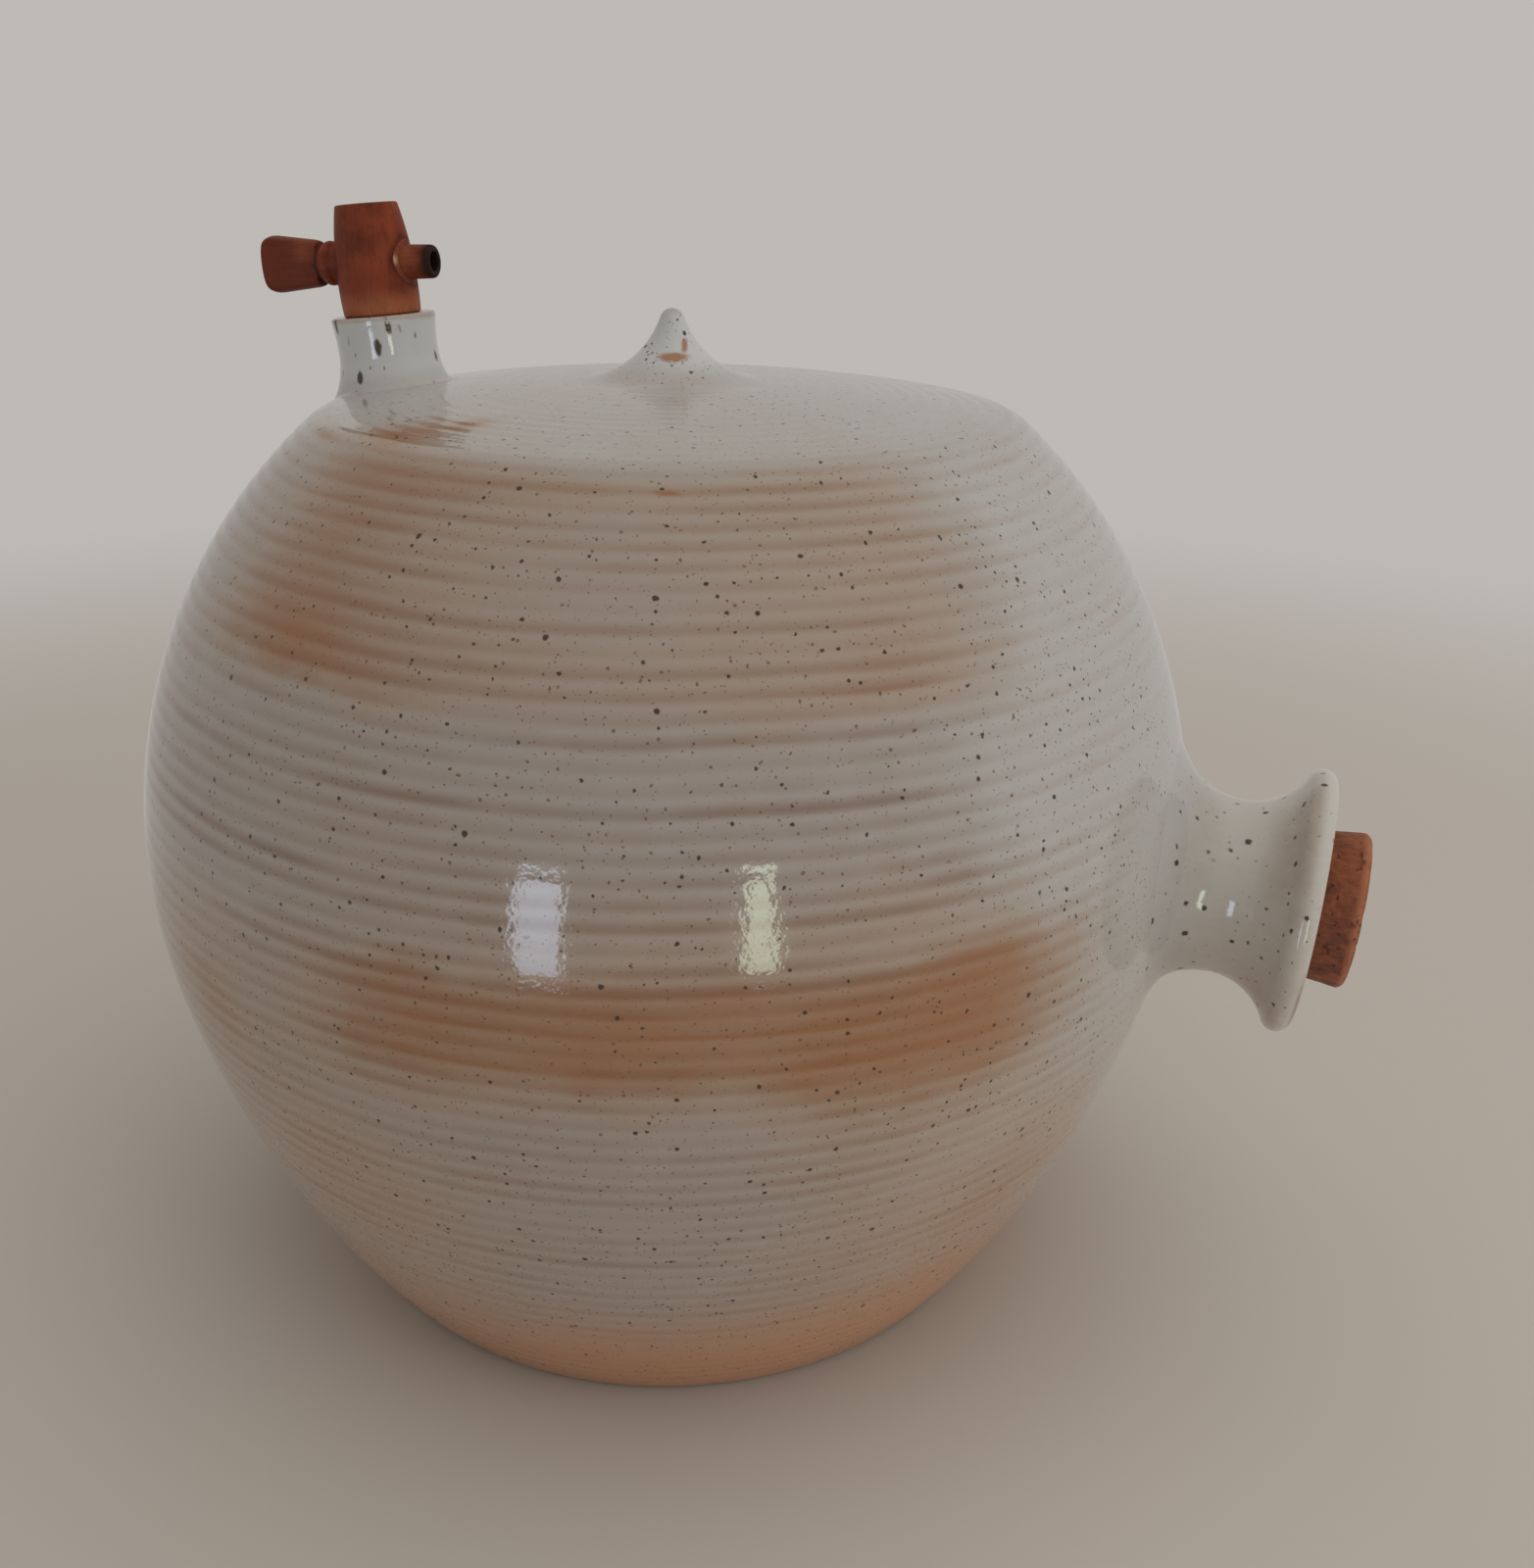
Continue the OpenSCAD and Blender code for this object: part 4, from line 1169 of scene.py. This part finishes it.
class CROCK_OT_tap(bpy.types.Operator):
    """Makes the turned tap and the cork sleeve round its tail, and gives the liner its cork"""
    bl_idname = "crock.tap"
    bl_label = "Tap and sleeve"

    def execute(self, context):
        t = context.scene.tap_sizes
        colours = context.scene.crock_colours
        place = collar_frame()
        belly_r, inset = t.tap_d / 2, t.tap_d / 2 - t.tap_top_d / 2
        rise = t.tap_h - t.tap_belly_at
        curve_r = (inset ** 2 + rise ** 2) / (2 * inset)
        mid = point(belly_r - curve_r, t.collar_h + t.tap_belly_at)
        side = arc(mid, curve_r, -math.asin(t.tap_belly_at / curve_r), math.asin(rise / curve_r),
                   1.0 * MM)
        sleeve_top = t.collar_h - t.sleeve_sunk
        sleeve_end = sleeve_top - t.sleeve_len
        tail_r, seat = t.tail_d / 2, t.collar_h + t.fit_gap
        section = softened(
            [(0, -t.tail_end, 0), (t.tail_tip_d / 2, -t.tail_end, 0.5 * MM),
             (tail_r, sleeve_end, 0.3 * MM), (tail_r, seat, 0.2 * MM),
             (side[0, 0], seat, 0.7 * MM)]
            + [(*spot, 0) for spot in side[1:-1]]
            + [(*side[-1], 0.8 * MM), (0, side[-1, 1], 0)], 0.8 * MM)
        spots, faces = revolved(section, COLUMNS["tap"])
        tap = piece_from("wooden_tap", placed(spots, place), faces)
        liner_r = t.plug_d / 2 + t.fit_gap + t.liner_t
        cut(tap, drill("key_drill", key_frame(), liner_r, start=-30 * MM, end=30 * MM),
            drill("flow_drill", place, t.flow_d / 2, start=-t.tail_end - 2 * MM,
                  end=t.collar_h + t.key_at))
        material = tap_wood(colours, t.collar_h / MM, (t.collar_h + t.key_at) / MM)
        dress(tap, material, "tap", "tap_wood", "tap_body")
        outer_r, inner_r = t.collar_bore_d / 2 - t.fit_gap, tail_r + t.fit_gap
        loop = softened([(outer_r, (sleeve_end + sleeve_top) / 2, 0),
                         (outer_r, sleeve_top, 0.3 * MM), (inner_r, sleeve_top, 0.3 * MM),
                         (inner_r, sleeve_end, 0.3 * MM), (outer_r, sleeve_end, 0.3 * MM),
                         (outer_r, (sleeve_end + sleeve_top) / 2, 0)], 0.9 * MM)
        spots, faces = skin(rings(loop[:-1], COLUMNS["sleeve"]), True)
        sleeve = piece_from("cork_sleeve", placed(spots, place), faces)
        dress(sleeve, seal_cork(colours), "sleeve", "seal_cork", "tap_cork_sleeve")
        liner = frame["nodes"]["key_cork_liner"]
        liner.data.materials.clear()
        liner.data.materials.append(liner_cork(colours))
        return {"FINISHED"}


class CROCK_OT_key(bpy.types.Operator):
    """Makes the turned key with its spout, bead and flat handle"""
    bl_idname = "crock.key"
    bl_label = "Key"

    def execute(self, context):
        t = context.scene.tap_sizes
        taper = (t.plug_d - t.spout_d) / (2 * (t.tap_d / 2 + t.spout_reach))
        bead_from = t.tap_d / 2 + t.fit_gap
        groove_from = bead_from + t.bead_len
        handle_from = groove_from + t.groove_len
        handle_to = handle_from + t.handle_len
        bead_round = t.bead_len / 2
        bead_mid = point(t.bead_d / 2 - bead_round, bead_from + bead_round)
        bead = arc(bead_mid, bead_round, -math.pi / 2, math.pi / 2, 0.5 * MM)
        mouth, flow_r, groove_r = -t.spout_reach, t.flow_d / 2, t.groove_d / 2
        bead_root = t.spout_d / 2 + taper * (t.spout_reach + bead_from)
        section = softened(
            [(0, 0, 0), (flow_r, 0, 0.3 * MM), (flow_r, mouth, 0.5 * MM),
             (t.spout_d / 2, mouth, 1.1 * MM), (bead_root, bead_from, 0.1 * MM)]
            + [(*spot, 0) for spot in bead if spot[0] > groove_r + 0.1 * MM]
            + [(groove_r, groove_from + 0.1 * MM, 0.2 * MM), (groove_r, handle_from, 0.2 * MM),
               (t.handle_root_w / 2, handle_from, 2.2 * MM),
               (t.handle_end_w / 2, handle_to - t.handle_corner_r, 1.5 * MM),
               (t.handle_end_w / 2 - 0.25 * t.handle_corner_r,
                handle_to - 0.25 * t.handle_corner_r, 2.0 * MM),
               (t.handle_end_w / 2 - t.handle_corner_r, handle_to, 1.5 * MM),
               (0, handle_to, 0)], 0.6 * MM)
        spots, faces = revolved(section, COLUMNS["key"])
        # The key's local Y runs across the handle's flat sides
        half, soft = t.handle_t / 2, 0.9 * MM
        flat = spots[:, 2] > handle_from - 0.1 * MM
        side = np.abs(spots[:, 1])
        pressed = np.where(side > half - soft,
                           half - soft * np.exp(-(side - half + soft) / soft), side)
        spots[:, 1] = np.where(flat, np.sign(spots[:, 1]) * pressed, spots[:, 1])
        key = piece_from("wooden_key", placed(spots, key_frame()), faces)
        material = key_wood(context.scene.crock_colours, (groove_from + t.groove_len / 2) / MM,
                            mouth / MM, flow_r / MM)
        dress(key, material, "key", "key_wood", "tap_key")
        return {"FINISHED"}


# Radii of the floor's rows, and how far it lies below the foot, in metres
FLOOR_ROWS = (0.3, 0.6, 0.9, 1.2, 1.6, 2.0)
FLOOR_DROP = 0.2 * MM
# Distances in millimetres over which the floor fades, as seen and as mirrored in the glaze
FLOOR_FADE, MIRRORED_FADE = (420.0, 1100.0), (220.0, 480.0)
# Strength of the light from all round
SOFT_LIGHT = 0.44
# Point that the lamps look at. Lamps: name, azimuth and elevation in degrees, distance, width and
# height in metres, watts, colour, and whether it lights the pieces or is only mirrored in them.
LAMP_TARGET = Vector((0, 0, 0.13))
LAMPS = (
    ("overhead", 0.0, 78.0, 2.0, 2.4, 2.4, 16.5, (1.0, 0.99, 0.97), True),
    ("side", -10.0, 9.0, 2.0, 1.6, 1.6, 10.0, (1.0, 0.99, 0.98), True),
    ("window_1", -93.9, -4.5, 2.4, 0.38, 0.83, 6.2, (0.68, 0.81, 1.0), False),
    ("window_2", -52.4, -3.0, 2.4, 0.24, 0.84, 4.2, (0.84, 1.0, 0.76), False),
)
# The camera's right and upward directions, its place, and its sensor and lens in millimetres
CAMERA_RIGHT = Vector((0.94765, 0.31892, 0.01610))
CAMERA_UP = Vector((-0.13232, 0.34627, 0.92876))
CAMERA_PLACE = (0.15069, -0.37428, 0.29164)
SENSOR_HEIGHT, LENS = 36.0, 35.1


class CROCK_OT_stage(bpy.types.Operator):
    """Sets up the floor, the light, the surroundings and the camera"""
    bl_idname = "crock.stage"
    bl_label = "Stage"

    def execute(self, context):
        scene = context.scene
        scene.view_settings.view_transform = "Standard"
        self.make_floor(scene.crock_colours)
        self.make_world(scene.crock_colours)
        self.make_lamps()
        self.make_camera(scene)
        return {"FINISHED"}

    def make_floor(self, colours):
        """Pale floor that fades into the surroundings far out."""
        columns, end = COLUMNS["floor"], COLUMNS["floor"] * len(FLOOR_ROWS)
        rows = rings(np.array([(row, -FLOOR_DROP) for row in FLOOR_ROWS]), columns)
        spots, faces = skin(rows[::-1], True)
        # The loop's closing faces, from the last row to the first, make way for a middle face
        bands = [face for face in faces if max(face) - min(face) < 2 * columns]
        floor = piece_from("floor", spots, bands + [list(range(end - columns, end))])
        f = Finish("floor", colours)
        x, y, _ = f.split(f.mm)
        far = f.radius(x, y)
        mirrored = f.add("ShaderNodeLightPath", out="Is Glossy Ray") * f.ease(far, *MIRRORED_FADE)
        fade = f.sole("MAXIMUM", f.ease(far, *FLOOR_FADE), mirrored)
        lit = f.mix(f.add("ShaderNodeLightPath", out="Is Diffuse Ray"), "floor", "bounce")
        matte = f.add("ShaderNodeBsdfDiffuse", None, {"Color": lit})
        clear = f.add("ShaderNodeBsdfTransparent")
        shader = f.add("ShaderNodeMixShader", None, {0: fade, 1: matte, 2: clear})
        f.add("ShaderNodeOutputMaterial", None, {"Surface": shader})
        floor.data.materials.append(f.material)

    def make_world(self, colours):
        """Soft light from all round, and pale surroundings for the camera and reflections."""
        world = bpy.data.worlds.new("surroundings")
        bpy.context.scene.world = world
        world.use_nodes = True
        t = Tree(world.node_tree)
        world.node_tree.nodes.clear()
        rays = t.add("ShaderNodeLightPath", out="Is Camera Ray")
        seen = t.sole("MAXIMUM", rays, t.sole("MAXIMUM", rays.out("Is Glossy Ray"),
                                              rays.out("Is Transmission Ray")))
        light = t.add("ShaderNodeBackground", None,
                      {"Color": (1.0, 1.0, 1.0), "Strength": SOFT_LIGHT})
        wall = t.add("ShaderNodeBackground", None, {"Color": tuple(colours.backdrop)})
        shader = t.add("ShaderNodeMixShader", None, {0: seen, 1: light, 2: wall})
        t.add("ShaderNodeOutputWorld", None, {"Surface": shader})

    def make_lamps(self):
        """Wide soft lamps overhead and on the neck's side, and two windows to be reflected."""
        for name, azimuth, elevation, far, wide, tall, watts, colour, lights in LAMPS:
            lamp = bpy.data.lights.new(name, "AREA")
            lamp.shape, lamp.size, lamp.size_y = "RECTANGLE", wide, tall
            lamp.energy, lamp.color = watts, colour
            turn, lift = math.radians(azimuth), math.radians(elevation)
            way = Vector((math.cos(turn) * math.cos(lift), math.sin(turn) * math.cos(lift),
                          math.sin(lift)))
            holder = bpy.data.objects.new(name, lamp)
            holder.matrix_world = (Matrix.Translation(LAMP_TARGET + far * way)
                                   @ way.to_track_quat("Z", "Y").to_matrix().to_4x4())
            holder.visible_diffuse, holder.visible_glossy = lights, not lights
            bpy.context.scene.collection.objects.link(holder)

    def make_camera(self, scene):
        """Camera at the photograph's viewing angle."""
        camera = bpy.data.cameras.new("camera")
        camera.sensor_fit, camera.sensor_height, camera.lens = "VERTICAL", SENSOR_HEIGHT, LENS
        back = CAMERA_RIGHT.cross(CAMERA_UP)
        place = Matrix((CAMERA_RIGHT, CAMERA_UP, back)).transposed().to_4x4()
        place.translation = CAMERA_PLACE
        holder = bpy.data.objects.new("camera", camera)
        holder.matrix_world = place
        scene.collection.objects.link(holder)
        scene.camera = holder


OPERATORS = (CROCK_OT_stage, CROCK_OT_pot, CROCK_OT_neck, CROCK_OT_collar, CROCK_OT_cork,
             CROCK_OT_tap, CROCK_OT_key)
GROUPS = {"crock_sizes": CrockSizes, "neck_sizes": NeckSizes, "tap_sizes": TapSizes,
          "crock_colours": CrockColours}


class CROCK_PT_pieces(bpy.types.Panel):
    """Lists the pieces of the crock and their sizes"""
    bl_idname = "CROCK_PT_pieces"
    bl_label = "Vinegar Crock"
    bl_space_type = "VIEW_3D"
    bl_region_type = "UI"
    bl_category = "Crock"

    def draw(self, context):
        for operator in OPERATORS:
            self.layout.operator(operator.bl_idname)
        for kind in GROUPS:
            group = getattr(context.scene, kind)
            for name in group.__annotations__:
                self.layout.prop(group, name)


def register():
    for group in GROUPS.values():
        bpy.utils.register_class(group)
    for kind, group in GROUPS.items():
        setattr(bpy.types.Scene, kind, PointerProperty(type=group))
    for item in (*OPERATORS, CROCK_PT_pieces):
        bpy.utils.register_class(item)


def unregister():
    for item in reversed((*OPERATORS, CROCK_PT_pieces)):
        bpy.utils.unregister_class(item)
    for kind in GROUPS:
        delattr(bpy.types.Scene, kind)
    for group in reversed(GROUPS.values()):
        bpy.utils.unregister_class(group)


def main():
    register()
    bpy.ops.crock.stage()
    bpy.ops.crock.pot()
    bpy.ops.crock.neck()
    bpy.ops.crock.collar()
    bpy.ops.crock.cork()
    bpy.ops.crock.tap()
    bpy.ops.crock.key()


if __name__ == "__main__":
    main()
